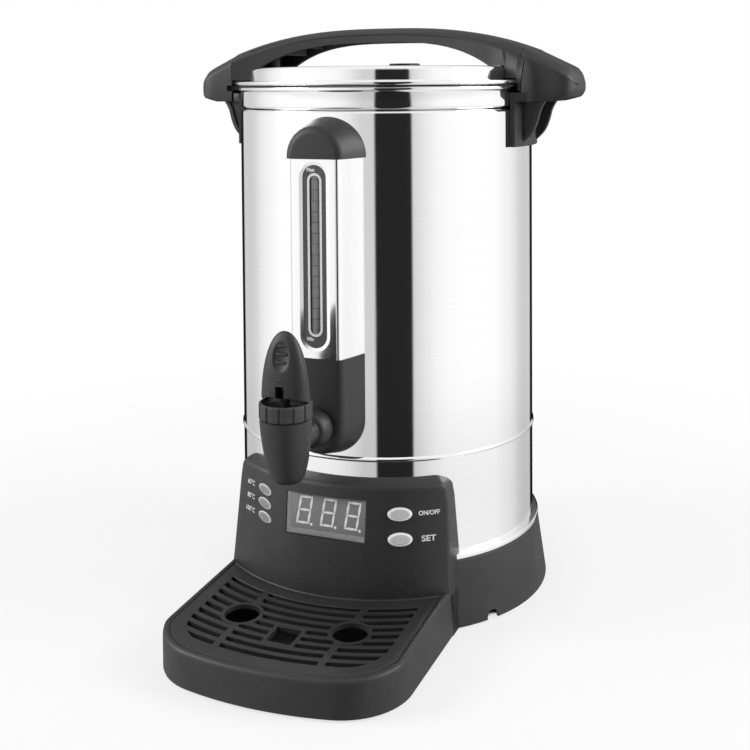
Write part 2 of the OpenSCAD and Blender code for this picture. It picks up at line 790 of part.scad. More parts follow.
// Right-hand grip: block, bracket with two cheeks, slot for the lug and screw holes
module grip() {
  top_slope = 14;
  end_top = grip_top - top_slope;
  chamfer = 5;
  half = grip_depth / 2;
  bevel = 8;
  under_x = grip_x - 16;
  strip = 4;
  strip_w = bracket_w + 22;
  outline = [[body_r - 12, grip_under], [under_x, grip_under], [grip_x - chamfer * 0.8, grip_under + 3],
    [grip_x, grip_under + 3 + chamfer], [grip_x, end_top - chamfer], [grip_x - chamfer, end_top],
    [seam_x, grip_top], [body_r - 12, grip_top]];
  section = [[-half, grip_under - over], [half, grip_under - over], [half, end_top - 2],
    [half - bevel, grip_top + over], [-half + bevel, grip_top + over], [-half, end_top - 2]];
  round_r = 12;
  plan = concat([[0, -half]], arc([grip_x - round_r, round_r - half], round_r, -90, 0),
    arc([grip_x - round_r, half - round_r], round_r, 0, 90), [[0, half]]);
  cheek_x = grip_x - 22;
  gusset = concat(
    [[body_r - 12, grip_under + over], [cheek_x + 2, grip_under + over]],
    [for (i = [0:8]) let(t = i / 8)
      [body_r + 0.5 + (cheek_x - body_r - 0.5) * pow(1 - t, 0.65), grip_under - (bracket_h - 0.5) * t]],
    [[body_r - 12, grip_under - bracket_h]]);
  difference() {
    union() {
      intersection() {
        push_y(outline, -half, half);
        rotate([0, 0, 90]) push_y(section, -grip_x - over, 0);
        translate([0, 0, grip_under - over]) linear_extrude(grip_top - grip_under + 2 * over) polygon(plan);
      }
      for (y = [-bracket_w / 2, bracket_w / 2 - cheek_t]) push_y(gusset, y, y + cheek_t);
      intersection() {
        translate([0, -strip_w / 2, grip_under - bracket_h]) cube([grip_x, strip_w, bracket_h + over]);
        rod_z(body_r + strip, grip_under - bracket_h, grip_under + 2);
      }
    }
    rod_z(body_r + fit_gap, grip_under - bracket_h - over, hook_low + over);
    rod_z(hook_r + run_gap, hook_low, hook_top);
    rod_z(drum_r + 4, hook_top - over, grip_top + over);
    difference() {
      translate([0, 0, -20]) rotate([0, 0, 180]) past_seam(-2 * seam_x - run_gap / 2);
      rod_z(2 * grip_x, 0, lid_top - run_gap);
    }
    ring_part(hook_r - 2, lug_r + run_gap, lug_z - run_gap, lug_z + lug_h + run_gap, -2, 60);
    for (z = grip_screw_z()) grip_hole(1, z, screw_r);
  }
}

module side_handle_right() {
  color(black) grip();
}

module side_handle_left() {
  color(black) rotate([0, 0, 180]) grip();
}

// Screws from inside the shell into the brackets
module side_handle_screws() {
  color(zinc) for (side = [-1, 1]) for (z = grip_screw_z())
    translate([side * (body_r - shell_wall), 0, z]) rotate([0, side * 90, 0]) {
      translate([0, 0, -1.6]) cylinder(r = screw_head_r, h = 1.5);
      translate([0, 0, -0.2]) cylinder(r = screw_r - bore_gap, h = 4);
    }
}

// Half width of the gauge at a distance behind its front
function pod_half_at(back) = pod_half + back * tan(pod_flare);

// One slice of a rounded end of the gauge: a circle at zc and a straight run to z_flat
module pod_slice(back, inset, zc, z_flat) {
  half = pod_half_at(back) - inset;
  tall = 4 * pod_foot_half;
  translate([0, pod_y + back, 0]) rotate([90, 0, 0]) linear_extrude(0.01) intersection() {
    union() {
      translate([0, zc]) circle(half, $fn = 48);
      translate([-half, min(zc, z_flat)]) square([2 * half, abs(z_flat - zc)]);
    }
    translate([-tall / 2, z_flat > zc ? z_flat - tall : z_flat]) square(tall);
  }
}

// A rounded end of the gauge, as a solid that runs into the shell
module pod_end(zc, z_flat, inset) {
  hull() {
    pod_slice(inset, inset + pod_edge * 0.7, zc, z_flat);
    pod_slice(inset + pod_edge * 0.3, inset + pod_edge * 0.2, zc, z_flat);
    pod_slice(inset + pod_edge, inset, zc, z_flat);
    pod_slice(pod_depth, inset, zc, z_flat);
  }
}

// Leaves what lies outside the shell
module off_shell() {
  difference() {
    children();
    rod_z(body_r + fit_gap, 0, lid_top);
  }
}

// Black cap, closed below by a floor that holds the tube's upper seal
module gauge_cap() {
  zc = cover_top + cap_straight;
  web = 3;
  color(black) off_shell() difference() {
    pod_end(zc, cover_top + fit_gap / 2, -cap_over);
    difference() {
      pod_end(zc, cover_top - over, pod_wall - cap_over);
      block(4 * pod_half, pod_y, 0, cover_top - 2, cover_top + web);
    }
    rod_z(tube_r + seal_wall + bore_gap, cover_top - over, cover_top + web + over, 0, tube_y);
  }
}

// Steel cover: bent sheet with flared sides and an oval window
module gauge_cover() {
  z0 = housing_top + fit_gap / 2;
  z1 = cover_top - fit_gap / 2;
  color(steel) off_shell() difference() {
    translate([0, 0, z0]) linear_extrude(z1 - z0) polygon(pod_section(0));
    translate([0, 0, z0 - over]) linear_extrude(z1 - z0 + 2 * over) polygon(pod_section(cover_wall));
    oval(window_w, window_z0, window_z1, pod_y - over, pod_y + 4);
  }
}

// Plan of the gauge with rounded front edges
function pod_section(inset) =
  let(c = [pod_half - pod_edge, pod_y + pod_edge], back = pod_depth,
    right = concat(arc(c, pod_edge - inset, -90, -pod_flare, 8),
      [[pod_half_at(back) - inset, pod_y + back]]))
  concat(flip(right), right);

// An upright oval slot cut along Y
module oval(w, z0, z1, y0, y1) {
  rod_y(w / 2, y0, y1, z0 + w / 2);
  rod_y(w / 2, y0, y1, z1 - w / 2);
  block(w, y0, y1, z0 + w / 2, z1 - w / 2);
}

// Dark plate behind the window, with a slot for the tube
module scale_plate() {
  y0 = pod_y + cover_wall + fit_gap / 2;
  rim = 2.4;
  color([0.28, 0.28, 0.29]) difference() {
    oval(window_w + 2 * rim, window_z0 - rim, window_z1 + rim, y0, y0 + scale_t);
    oval(scale_slot_w, scale_z0, scale_z1, y0 - over, y0 + scale_t + over);
  }
}

tube_z0 = tap_z + socket_h - seal_h + 2;
tube_z1 = cover_top + 6;

module sight_tube() {
  color([0.75, 0.78, 0.80, 0.5]) translate([0, tube_y, 0]) difference() {
    rod_z(tube_r, tube_z0, tube_z1);
    rod_z(tube_r - tube_wall, tube_z0 - over, tube_z1 + over);
  }
}

// Silicone sleeves that seat the tube below and above
module tube_seals() {
  color(silicone) translate([0, tube_y, 0]) for (z = [tube_z0, cover_top - 3]) difference() {
    rod_z(tube_r + seal_wall, z, z + seal_h - 3);
    rod_z(tube_r + bore_gap, z - over, z + seal_h);
  }
}

// Black housing round the manifold, open to the cover above it
module tap_housing() {
  color(black) off_shell() difference() {
    pod_end(tap_z, housing_top - fit_gap / 2, 0);
    pod_end(tap_z, housing_top + over, pod_wall);
    rod_y(shank_r + fit_gap, pod_y - over, pod_y + 8, tap_z);
  }
}

// Fitting that joins the tank, the tube above and the tap's shank in front
module outlet_manifold() {
  socket_r = tube_r + seal_wall + socket_wall;
  color(zinc) difference() {
    union() {
      rod_y(pipe_r, manifold_front, -pipe_end, tap_z);
      rod_z(socket_r, tap_z, tap_z + socket_h, 0, tube_y);
      rod_y(pipe_r + 5, -body_r - fit_gap - 2, -body_r - fit_gap, tap_z);
    }
    rod_y(shank_r + bore_gap, pod_y, manifold_front + 9, tap_z);
    rod_y(pipe_bore, manifold_front, -pipe_end + over, tap_z);
    rod_z(tube_r + seal_wall + bore_gap, tube_z0 - seat_gap, tap_z + socket_h + over, 0, tube_y);
    rod_z(tube_r - tube_wall, tap_z, tap_z + socket_h, 0, tube_y);
  }
}

module outlet_nut() {
  y0 = -tank_r + washer_t;
  color(zinc) difference() {
    translate([0, y0, tap_z]) rotate([-90, 0, 0]) cylinder(r = nut_r, h = nut_t, $fn = 6);
    rod_y(pipe_r + bore_gap, y0 - over, y0 + nut_t + over, tap_z);
  }
}

// Silicone washer between the tank's curved wall and the nut
module outlet_gasket() {
  r = nut_r - 2;
  y0 = -sqrt(pow(tank_r - bore_gap, 2) - r * r);
  color(silicone) difference() {
    rod_y(r, y0, -tank_r + washer_t, tap_z);
    rod_y(pipe_r + bore_gap, y0 - over, 0, tap_z);
  }
}

// Tapered black nozzle with its chamber, its neck for the bonnet, and its shank
module tap_body() {
  flange_t = 3;
  mouth_r = nozzle_r - 2.4;
  color(black) difference() {
    union() {
      hull() for (t = [0, 0.1, 0.28, 0.5, 0.75, 1])
        translate([0, tap_y + nozzle_lean * (1 - t), nozzle_z + (bonnet_z - 1.2 - nozzle_z) * t])
          cylinder(r = nozzle_r + (bonnet_r - 0.4 - nozzle_r) * pow(t, nozzle_swell), h = 1, $fn = 48);
      rod_z(neck_r, bonnet_z - 1, bonnet_z + neck_h, 0, tap_y);
      rod_y(shank_r, tap_y, manifold_front + 8.5, tap_z);
      rod_y(shank_r + 3.5, pod_y - fit_gap - flange_t, pod_y - fit_gap, tap_z);
    }
    rod_z(chamber_r, seat_z, bonnet_z + neck_h + over, 0, tap_y);
    rod_z(seat_bore, nozzle_z + 5, seat_z + over, 0, tap_y);
    rod_z(mouth_r, nozzle_z - over, seat_z - 4, 0, tap_y + nozzle_lean * 0.7);
    rod_y(pipe_bore - 1, tap_y, manifold_front + 12, tap_z);
  }
}

// Ribbed ring screwed over the neck, with the plunger's guide in its top
module tap_bonnet() {
  color(black) translate([0, tap_y, 0]) difference() {
    rod_z(bonnet_r, bonnet_z, bonnet_top);
    rod_z(neck_r + fit_gap, bonnet_z - over, bonnet_z + neck_h + fit_gap);
    rod_z(stem_r + bore_gap, bonnet_z, bonnet_top + over);
    for (i = [0:groove_count - 1]) rotate([0, 0, 12 - 90 + 360 * i / groove_count])
      rod_z(0.9, bonnet_z + 1.6, bonnet_top - 1.6, bonnet_r + 0.3, 0);
  }
}

spring_flange_z = seat_z + cup_h + 2.4;
spring_r = stem_r + 2.6;

// Plunger with a spring flange and a round head for the cross pin
module tap_stem() {
  color(grey) translate([0, tap_y, 0]) difference() {
    union() {
      rod_z(stem_r, seat_z + 3, pin_z);
      rod_z(spring_r + 1, spring_flange_z - 2, spring_flange_z);
      translate([0, 0, pin_z]) sphere(head_r, $fn = 64);
    }
    translate([-20, 0, pin_z]) rotate([0, 90, 0]) cylinder(r = pin_r + bore_gap, h = 40);
  }
}

// Silicone cup on the plunger's foot, closed on the seat
module seat_cup() {
  color(silicone) translate([0, tap_y, 0]) difference() {
    rotate_extrude($fn = 64) polygon([[0, seat_z + seat_gap], [seat_bore + 1.8, seat_z + seat_gap],
      [seat_bore + 0.6, seat_z + cup_h], [0, seat_z + cup_h]]);
    rod_z(stem_r + bore_gap, seat_z + 3 - bore_gap, seat_z + cup_h + over);
  }
}

// Coil spring between the plunger's flange and the bonnet, drawn as a sleeve
module tap_spring() {
  wire = 1;
  color(zinc) translate([0, tap_y, 0]) difference() {
    rod_z(spring_r + wire, spring_flange_z + seat_gap, bonnet_z + neck_h + fit_gap - seat_gap);
    rod_z(spring_r, spring_flange_z, bonnet_top);
  }
}

module lever_pin() {
  color(zinc) translate([-lever_half * 0.62, tap_y, pin_z]) rotate([0, 90, 0])
    cylinder(r = pin_r, h = lever_half * 1.24);
}

// Leaf-shaped lever, forked over the plunger's head and cut away below its front
module tap_lever() {
  steps = 10;
  color(black) translate([0, tap_y, 0]) difference() {
    hull() for (i = [0:steps]) let(t = 0.992 * i / steps, s = 1 - t * t)
      translate([0, 0, lever_z + (lever_h - 0.3) * t]) linear_extrude(0.2)
        polygon(ellipse(2 * lever_half * pow(s, 0.62), lever_t * pow(s, 0.6), 32));
    translate([-50, 0, lever_z]) rotate([-lever_cut, 0, 0]) translate([0, -60, -20]) cube([100, 60, 20]);
    block(lever_slot_w, -lever_t, stem_r + run_gap, lever_z - over, pin_z);
    block(lever_slot_w, -lever_t, 0, lever_z - over, lever_z + lever_slot_h);
    translate([-fork_w / 2, 0, pin_z]) rotate([0, 90, 0]) cylinder(r = head_r + run_gap, h = fork_w);
    translate([-30, 0, pin_z]) rotate([0, 90, 0]) cylinder(r = pin_r + bore_gap / 2, h = 60);
    translate([0, -lever_t / 2 - 0.6, lever_z + lever_h * 0.62]) rotate([90 - 12, 0, 0])
      sphere(3.2, $fn = 32);
  }
}

// Outline of the tray, narrowed by an inset: straight sides, round corners and a front curved about the body
function tray_outline(inset) =
  let(half = front_w / 2, cx = half - tray_corner, far = tray_r - tray_corner,
    cy = -sqrt(far * far - cx * cx), turn = atan2(cy, cx),
    corner = arc([cx, cy], tray_corner - inset, turn, 0, 10),
    front = arc([0, 0], tray_r - inset, -90, turn, 10),
    right = concat([for (i = [1:9]) front[i]], corner, [[half - inset, -body_r * 0.6]]))
  concat([front[0]], right, flip(right));

// The tray's outline as an upright solid
module tray_shape(inset, height) {
  linear_extrude(height) polygon(tray_outline(inset));
}

// Everything below the tray's sloping top, lowered by a drop
module below_slope(drop) {
  translate([0, -tray_r, base_z + tray_h - drop]) rotate([tray_slope, 0, 0])
    translate([-front_w, -60, -80]) cube([2 * front_w, 400, 80]);
}

// The tray as a solid block with a sloping top
module front_tub(inset) {
  intersection() {
    translate([0, 0, base_z]) tray_shape(inset, tray_h + 30);
    below_slope(0);
    translate([0, 0, -5]) difference() {
      translate([-front_w, -tray_r - 10, 0]) cube([2 * front_w, tray_r, 120]);
      rod_z(face_foot_r - console_wall + inset, -over, 130);
    }
  }
}

// The console's face and roof turned about the body's axis, narrowed by an inset
module console_form(inset) {
  turned([[0, base_z - over], [face_foot_r - inset, base_z - over], [face_foot_r - inset, tray_rear_z],
    [face_top_r - inset, face_top - inset * 0.6], [body_r - inset, console_top - inset],
    [0, console_top - inset]]);
}

// Posts behind the face that carry a small board
module board_posts(angle, z, half_w, half_h, depth) {
  on_face(angle, z) for (x = [-half_w, half_w]) for (dz = [-half_h, half_h]) rod_y(post_r, -2, depth, dz, x);
}

module board_post_holes(angle, z, half_w, half_h, depth) {
  on_face(angle, z) for (x = [-half_w, half_w]) for (dz = [-half_h, half_h])
    rod_y(screw_r - 0.3, depth - 6, depth + over, dz, x);
}

display_back = recess + lens_t + module_t + 2 * fit_gap;
side_half_w = 12;
side_half_h = 15.5;
board_edge = 3.5;
cutout_half = face_r(button_z) * sin(panel_angle) + (side_half_w + board_edge) * cos(panel_angle);
display_post_x = display_w / 2 - 10;
display_post_z = -display_h / 2 - 6.5;

// Console, face and drip tub as one moulding
module control_housing() {
  color(black) difference() {
    intersection() {
      difference() {
        union() {
          console_form(0);
          front_tub(0);
        }
        difference() {
          intersection() {
            console_form(console_wall);
            front_prism(console_wall, -face_foot_r, 0);
          }
          on_face(0, panel_z) {
            block(display_w + 8, -6, recess + lens_t + 1, -display_h / 2 - 4, display_h / 2 + 4);
            for (x = [-display_post_x, display_post_x]) rod_y(post_r, -2, display_back, display_post_z, x);
          }
          board_posts(panel_angle, button_z, side_half_w, side_half_h, switch_depth);
          board_posts(-panel_angle, button_z, side_half_w, side_half_h, switch_depth);
        }
      }
      front_prism(0, -tray_r - over, 0);
    }
    rod_z(body_r + fit_gap, trim_top - over, console_top + over);
    rod_z(trim_r + fit_gap, skirt_top - 3, trim_top + fit_gap);
    rod_z(body_r - 4, base_z - 2 * over, skirt_top);
    rod_z(skirt_r + fit_gap, base_z - 2 * over, base_z + 2.4 * plate_t);
    tub_well();
    grille_seat();
    on_face(0, panel_z) {
      block(display_w, -8, recess + over, -display_h / 2, display_h / 2);
      block(display_w + 2 * lens_lip + 2 * fit_gap, recess, display_back + 4,
        -display_h / 2 - lens_lip - fit_gap, display_h / 2 + lens_lip + fit_gap);
    }
    for (dz = [-button_pitch / 2, button_pitch / 2]) on_face(panel_angle, button_z + dz)
      push_y(ellipse(button_w, button_h), -8, 8);
    for (i = [-1:1]) on_face(-panel_angle, lamp_z + i * lamp_pitch)
      push_y(ellipse(lamp_w, lamp_h), -8, 8);
    on_face(0, panel_z) for (x = [-display_post_x, display_post_x])
      rod_y(screw_r - 0.3, display_back - 6, display_back + over, display_post_z, x);
    board_post_holes(panel_angle, button_z, side_half_w, side_half_h, switch_depth);
    board_post_holes(-panel_angle, button_z, side_half_w, side_half_h, switch_depth);
  }
}

// Hollow of the drip tub
module tub_well() {
  difference() {
    intersection() {
      translate([0, 0, base_z + tray_wall]) tray_shape(rim_w + grille_ledge, tray_h + 30);
      below_slope(-over);
    }
    rod_z(grille_back_r + grille_ledge, 0, 100);
  }
}

// Step round the well that the grille lies on
module grille_seat() {
  difference() {
    intersection() {
      translate([0, 0, base_z]) tray_shape(rim_w, tray_h + 30);
      below_slope(-30);
    }
    below_slope(grille_t + grille_drop + fit_gap);
    rod_z(grille_back_r - fit_gap - 0.2, 0, 100);
  }
}

// Outline of the grille as an upright solid
module grille_block(extra) {
  difference() {
    tray_shape(grille_inset + extra, 80);
    translate([0, 0, -over]) cylinder(r = grille_back_r + extra, h = 90, $fn = 180);
  }
}

// Grille of curved slots with two long bars, two round holes and a square hole
module drip_grille() {
  rim_r0 = cup_hole_d / 2 + bar_rib_w * 0.55;
  square_rim = square_hole + 1.1 * bar_rib_w;
  color(black) intersection() {
    difference() {
      below_slope(grille_drop);
      below_slope(grille_t + grille_drop);
    }
    difference() {
      grille_block(0);
      intersection() {
        grille_block(grille_edge);
        difference() {
          for (i = [0:rows - 1]) let(r = grille_back_r + grille_edge + i * row_pitch) difference() {
            rod_z(r + slot_w, 0, 80);
            rod_z(r, -over, 81);
          }
          for (x = [-bar_x, bar_x]) translate([x, 0, 0]) block(bar_rib_w, -tray_r, 0, -over, 81);
          for (x = [-cup_x, cup_x]) rod_z(rim_r0, -over, 81, x, cup_y);
          block(square_rim, square_y - square_rim / 2, square_y + square_rim / 2, -over, 81);
        }
      }
      for (x = [-cup_x, cup_x]) rod_z(cup_hole_d / 2, -over, 81, x, cup_y);
      block(square_hole, square_y - square_hole / 2, square_y + square_hole / 2, -over, 81);
    }
  }
}

module display_lens() {
  color([0.45, 0.46, 0.47]) on_face(0, panel_z)
    block(display_w + 2 * lens_lip, recess + fit_gap / 2, recess + lens_t,
      -display_h / 2 - lens_lip, display_h / 2 + lens_lip);
}

// Display block with its board, screwed to two posts
module display_module() {
  y0 = recess + lens_t + fit_gap;
  color([0.30, 0.31, 0.32]) on_face(0, panel_z) {
    block(display_w, y0, display_back + 2 * seat_gap, -display_h / 2, display_h / 2);
    difference() {
      block(display_w, display_back + seat_gap, display_back + seat_gap + board_t,
        display_post_z - 3.5, display_h / 2);
      for (x = [-display_post_x, display_post_x])
        rod_y(screw_r, display_back - over, display_back + 4, display_post_z, x);
    }
  }
}

// One button: cap, flange behind the face and a plunger towards its switch
module button(dz) {
  cap_out = 1.8;
  wall_back = console_wall * 1.25 + 0.6;
  color(grey) on_face(panel_angle, button_z + dz) {
    push_y(ellipse(button_w - 1.5 * run_gap, button_h - 1.5 * run_gap), -cap_out, wall_back + 1);
    push_y(ellipse(button_w + 2.4, button_h + 1.6), wall_back, wall_back + 1.4);
    rod_y(1.6, wall_back, switch_depth - 3.4 - button_travel - run_gap, 0);
  }
}

module on_off_button() {
  button(button_pitch / 2);
}

module set_button() {
  button(-button_pitch / 2);
}

// Three light pipes with rounded fronts, each with a flange behind the face
module indicator_lenses() {
  wall_back = console_wall * 1.25 + 0.4;
  color(grey) for (i = [-1:1]) on_face(-panel_angle, lamp_z + i * lamp_pitch) {
    push_y(ellipse(lamp_w - fit_gap, lamp_h - fit_gap), -1, wall_back + 1);
    push_y(ellipse(lamp_w + 1.6, lamp_h + 1.6), wall_back, switch_depth - 3);
  }
}

// A small board on four posts
module small_board(angle) {
  on_face(angle, button_z) difference() {
    block(2 * (side_half_w + board_edge), switch_depth + seat_gap, switch_depth + seat_gap + board_t,
      -side_half_h - board_edge, side_half_h + board_edge);
    for (x = [-side_half_w, side_half_w]) for (dz = [-side_half_h, side_half_h])
      rod_y(screw_r, switch_depth - over, switch_depth + 4, dz, x);
  }
}

module switch_board() {
  color(board_green) {
    small_board(panel_angle);
    for (dz = [-button_pitch / 2, button_pitch / 2]) on_face(panel_angle, button_z + dz)
      block(6, switch_depth - 3.4, switch_depth + 2 * seat_gap, -3, 3);
  }
}

module indicator_board() {
  color(board_green) {
    small_board(-panel_angle);
    for (i = [-1:1]) on_face(-panel_angle, lamp_z + i * lamp_pitch)
      block(3, switch_depth - 2.6, switch_depth + 2 * seat_gap, -1.5, 1.5);
  }
}

// Screws through the three boards into their posts
module board_screws() {
  color(zinc) {
    for (side = [-1, 1]) on_face(side * panel_angle, button_z)
      for (x = [-side_half_w, side_half_w], dz = [-side_half_h, side_half_h])
        board_screw(x, dz, switch_depth);
    on_face(0, panel_z)
      for (x = [-display_post_x, display_post_x]) board_screw(x, display_post_z, display_back);
  }
}

module board_screw(x, dz, depth) {
  face = depth + seat_gap + board_t;
  rod_y(screw_head_r - 0.4, face, face + 1.4, dz, x);
  rod_y(screw_r - 0.3 - bore_gap, depth - 5, face + 0.1, dz, x);
}

about_axis() outer_shell();
about_axis() inner_tank();
about_axis() tank_floor();
about_axis() trim_ring();
about_axis() base_skirt();
about_axis() base_plate();
about_axis() base_screws();
about_axis() feet();
about_axis() power_inlet();
about_axis() power_board();
about_axis() heater_plate();
about_axis() heater_element();
about_axis() thermal_cutout();
about_axis() temperature_sensor();
about_axis() tie_rod();
about_axis() tie_nut();
about_axis() lid();
about_axis() lid_gasket();
about_axis() lid_handle();
about_axis() lid_handle_screws();
about_axis() vent_cap();
about_axis() side_handle_left();
about_axis() side_handle_right();
about_axis() side_handle_screws();
about_axis() gauge_cap();
about_axis() gauge_cover();
about_axis() scale_plate();
about_axis() sight_tube();
about_axis() tube_seals();
about_axis() tap_housing();
about_axis() outlet_manifold();
about_axis() outlet_nut();
about_axis() outlet_gasket();
about_axis() tap_body();
about_axis() tap_bonnet();
about_axis() tap_stem();
about_axis() seat_cup();
about_axis() tap_spring();
about_axis() lever_pin();
about_axis() tap_lever();
about_axis() control_housing();
about_axis() drip_grille();
about_axis() display_lens();
about_axis() display_module();
about_axis() on_off_button();
about_axis() set_button();
about_axis() indicator_lenses();
about_axis() switch_board();
about_axis() indicator_board();
about_axis() board_screws();
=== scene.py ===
"""Looks of a hot water urn: twist-lock lid, level gauge, lever tap, control console and drip tray."""
import json
import math

import bmesh
import bpy
from mathutils import Matrix, Vector


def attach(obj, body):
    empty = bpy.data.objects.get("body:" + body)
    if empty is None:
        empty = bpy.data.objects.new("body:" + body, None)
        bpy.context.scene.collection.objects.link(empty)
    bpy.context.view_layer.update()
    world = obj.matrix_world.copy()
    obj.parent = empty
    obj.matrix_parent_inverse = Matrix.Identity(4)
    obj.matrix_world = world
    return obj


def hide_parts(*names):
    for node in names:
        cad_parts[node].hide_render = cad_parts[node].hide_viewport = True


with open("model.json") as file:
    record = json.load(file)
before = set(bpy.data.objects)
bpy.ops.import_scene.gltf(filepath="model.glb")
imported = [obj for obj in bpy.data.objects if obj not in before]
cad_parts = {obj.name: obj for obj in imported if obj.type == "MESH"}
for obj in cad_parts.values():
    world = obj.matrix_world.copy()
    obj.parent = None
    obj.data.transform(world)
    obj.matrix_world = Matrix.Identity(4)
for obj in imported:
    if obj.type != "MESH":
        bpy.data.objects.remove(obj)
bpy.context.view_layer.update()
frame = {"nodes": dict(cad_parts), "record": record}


# Base skirt: a flared ring moulded in charcoal plastic that carries the whole urn. Its foot has two
# small arched notches, and a flat pad at the back takes the mains inlet. Shapes here are drawn in
# millimetres about the body's upright axis, and set into the part's frame once they are finished.
class Field:
    """A socket of a node tree; sums and products of fields become Math nodes."""

    def __init__(self, tree, socket):
        self.tree, self.socket = tree, socket

    def node(self, kind, settings=None, sockets=None, out=0):
        """Adds a node: its settings first, then the values or links of its sockets."""
        made = self.tree.nodes.new(kind)
        for key, value in (settings or {}).items():
            if key == "stops":
                for number, (place, colour) in enumerate(value):
                    stops = made.color_ramp.elements
                    stop = stops[number] if number < 2 else stops.new(place)
                    stop.position, stop.color = place, colour
            else:
                setattr(made, key, value)
        for key, value in (sockets or {}).items():
            if isinstance(value, Field):
                self.tree.links.new(value.socket, made.inputs[key])
            else:
                made.inputs[key].default_value = value
        return Field(self.tree, made.outputs[out]) if made.outputs else None

    def math(self, operation, *others):
        return self.node("ShaderNodeMath", {"operation": operation}, dict(enumerate((self, *others))))

    def __add__(self, other):
        return self.math("ADD", other)

    def __sub__(self, other):
        return self.math("SUBTRACT", other)

    def __rsub__(self, other):
        return self.node("ShaderNodeMath", {"operation": "SUBTRACT"}, {0: other, 1: self})

    def __mul__(self, other):
        return self.math("MULTIPLY", other)

    __radd__, __rmul__ = __add__, __mul__

    def step(self, low, high):
        """0 below low, 1 above high, with a soft change between."""
        return self.node("ShaderNodeMapRange", {"interpolation_type": "SMOOTHSTEP"},
                         {"Value": self, "From Min": low, "From Max": high})

    def tint(self, dark, light):
        """A colour between two, by this field."""
        return self.node("ShaderNodeMix", {"data_type": "RGBA"}, {0: self, 6: dark, 7: light}, out=2)

    def noise(self, scale, detail=2.0, stretch=(1, 1, 1)):
        """Noise on these coordinates, with each axis stretched by a factor first."""
        place = self.node("ShaderNodeVectorMath", {"operation": "MULTIPLY"}, {0: self, 1: stretch})
        return self.node("ShaderNodeTexNoise", None, {"Vector": place, "Scale": scale, "Detail": detail})

    def bump(self, strength, depth):
        return self.node("ShaderNodeBump", None, {"Height": self, "Strength": strength, "Distance": depth})


def surface(name, **constants):
    """A new material: the material, its shader and a field of Object coordinates."""
    made = bpy.data.materials.new(name)
    made.use_nodes = True
    tree = made.node_tree
    shader = tree.nodes["Principled BSDF"]
    for key, value in constants.items():
        shader.inputs[key.replace("_", " ").title().replace("Ior", "IOR")].default_value = value
    return made, shader, Field(tree, tree.nodes.new("ShaderNodeTexCoord").outputs["Object"])


def feed(shader, **fields):
    """Links fields to a shader's sockets."""
    for key, value in fields.items():
        value.tree.links.new(value.socket, shader.inputs[key.replace("_", " ").title()])


def moulded(name, dark, light, rough, grain=1500, depth=0.00006):
    """Moulded plastic: a fine spark-eroded grain, slightly uneven in tone and gloss."""
    made, shader, place = surface(name)
    tone = place.noise(38, 3) * 0.6 + place.noise(420, 2) * 0.4
    pits = place.noise(grain, 2)
    feed(shader, base_color=tone.step(0.3, 0.7).tint((*dark, 1), (*light, 1)),
         roughness=rough + (place.noise(95, 3) - 0.5) * 0.14 + (pits - 0.5) * 0.08,
         normal=pits.bump(0.22, depth))
    return made


def rounded(points, steps=5):
    """A line whose corners given as (a, b, r) become curves; (a, b) corners stay sharp."""
    line = []
    for number, point in enumerate(points):
        here = Vector(point[:2])
        if len(point) < 3:
            line.append(here)
            continue
        before = (Vector(points[number - 1][:2]) - here).normalized() * point[2]
        after = (Vector(points[(number + 1) % len(points)][:2]) - here).normalized() * point[2]
        line += [here + before * (1 - k / steps) ** 2 + after * (k / steps) ** 2 for k in range(steps + 1)]
    return line


def turned(profile, steps=180):
    """A round shape spun from a profile of radius and height."""
    made = bmesh.new()
    rail = [made.verts.new((r, 0, z)) for r, z in profile]
    rail += [made.edges.new(pair) for pair in zip(rail, rail[1:])]
    bmesh.ops.spin(made, geom=rail, cent=(0, 0, 0), axis=(0, 0, 1), angle=math.tau, steps=steps, use_merge=True)
    bmesh.ops.remove_doubles(made, verts=made.verts, dist=0.002)
    bmesh.ops.recalc_face_normals(made, faces=made.faces)
    return made


def placed(shape, matrix):
    bmesh.ops.transform(shape, matrix=matrix, verts=shape.verts)
    return shape


def joined(*shapes):
    """One mesh of several shapes."""
    made = shapes[0]
    for other in shapes[1:]:
        mesh = bpy.data.meshes.new("joined")
        other.to_mesh(mesh)
        other.free()
        made.from_mesh(mesh)
        bpy.data.meshes.remove(mesh)
    return made


def cut(shape, tool):
    """Takes one closed shape out of another."""
    blanks = []
    for part in (shape, tool):
        mesh = bpy.data.meshes.new("blank")
        part.to_mesh(mesh)
        part.free()
        blanks.append(bpy.data.objects.new("blank", mesh))
        bpy.context.collection.objects.link(blanks[-1])
    knife = blanks[0].modifiers.new("cut", "BOOLEAN")
    knife.object, knife.solver = blanks[1], "EXACT"
    whole = blanks[0].evaluated_get(bpy.context.evaluated_depsgraph_get())
    made = bmesh.new()
    made.from_mesh(whole.to_mesh())
    for blank in blanks:
        mesh = blank.data
        bpy.data.objects.remove(blank)
        bpy.data.meshes.remove(mesh)
    return made


def block(low, high, bevel=0.0, segments=3):
    """A box between two corners, with its edges rounded."""
    made = bmesh.new()
    size = Vector(high) - Vector(low)
    middle = (Vector(high) + Vector(low)) / 2
    bmesh.ops.create_cube(made, size=1, matrix=Matrix.Translation(middle) @ Matrix.Diagonal((*size, 1)))
    if bevel:
        bmesh.ops.bevel(made, geom=made.edges[:], offset=bevel, offset_type="OFFSET", affect="EDGES",
                        segments=segments, profile=0.5, material=-1)
    return made


def rod(radius, length, matrix, bevel=0.0, steps=48):
    """A round rod along its own Z from 0, with rounded ends."""
    profile = [(0, 0), (radius, 0, bevel), (radius, length, bevel), (0, length)]
    return placed(turned(rounded([p if bevel or len(p) < 3 else p[:2] for p in profile], 3), steps), matrix)


AXIS_Y, MILLIMETRE = 0.0508, 0.001


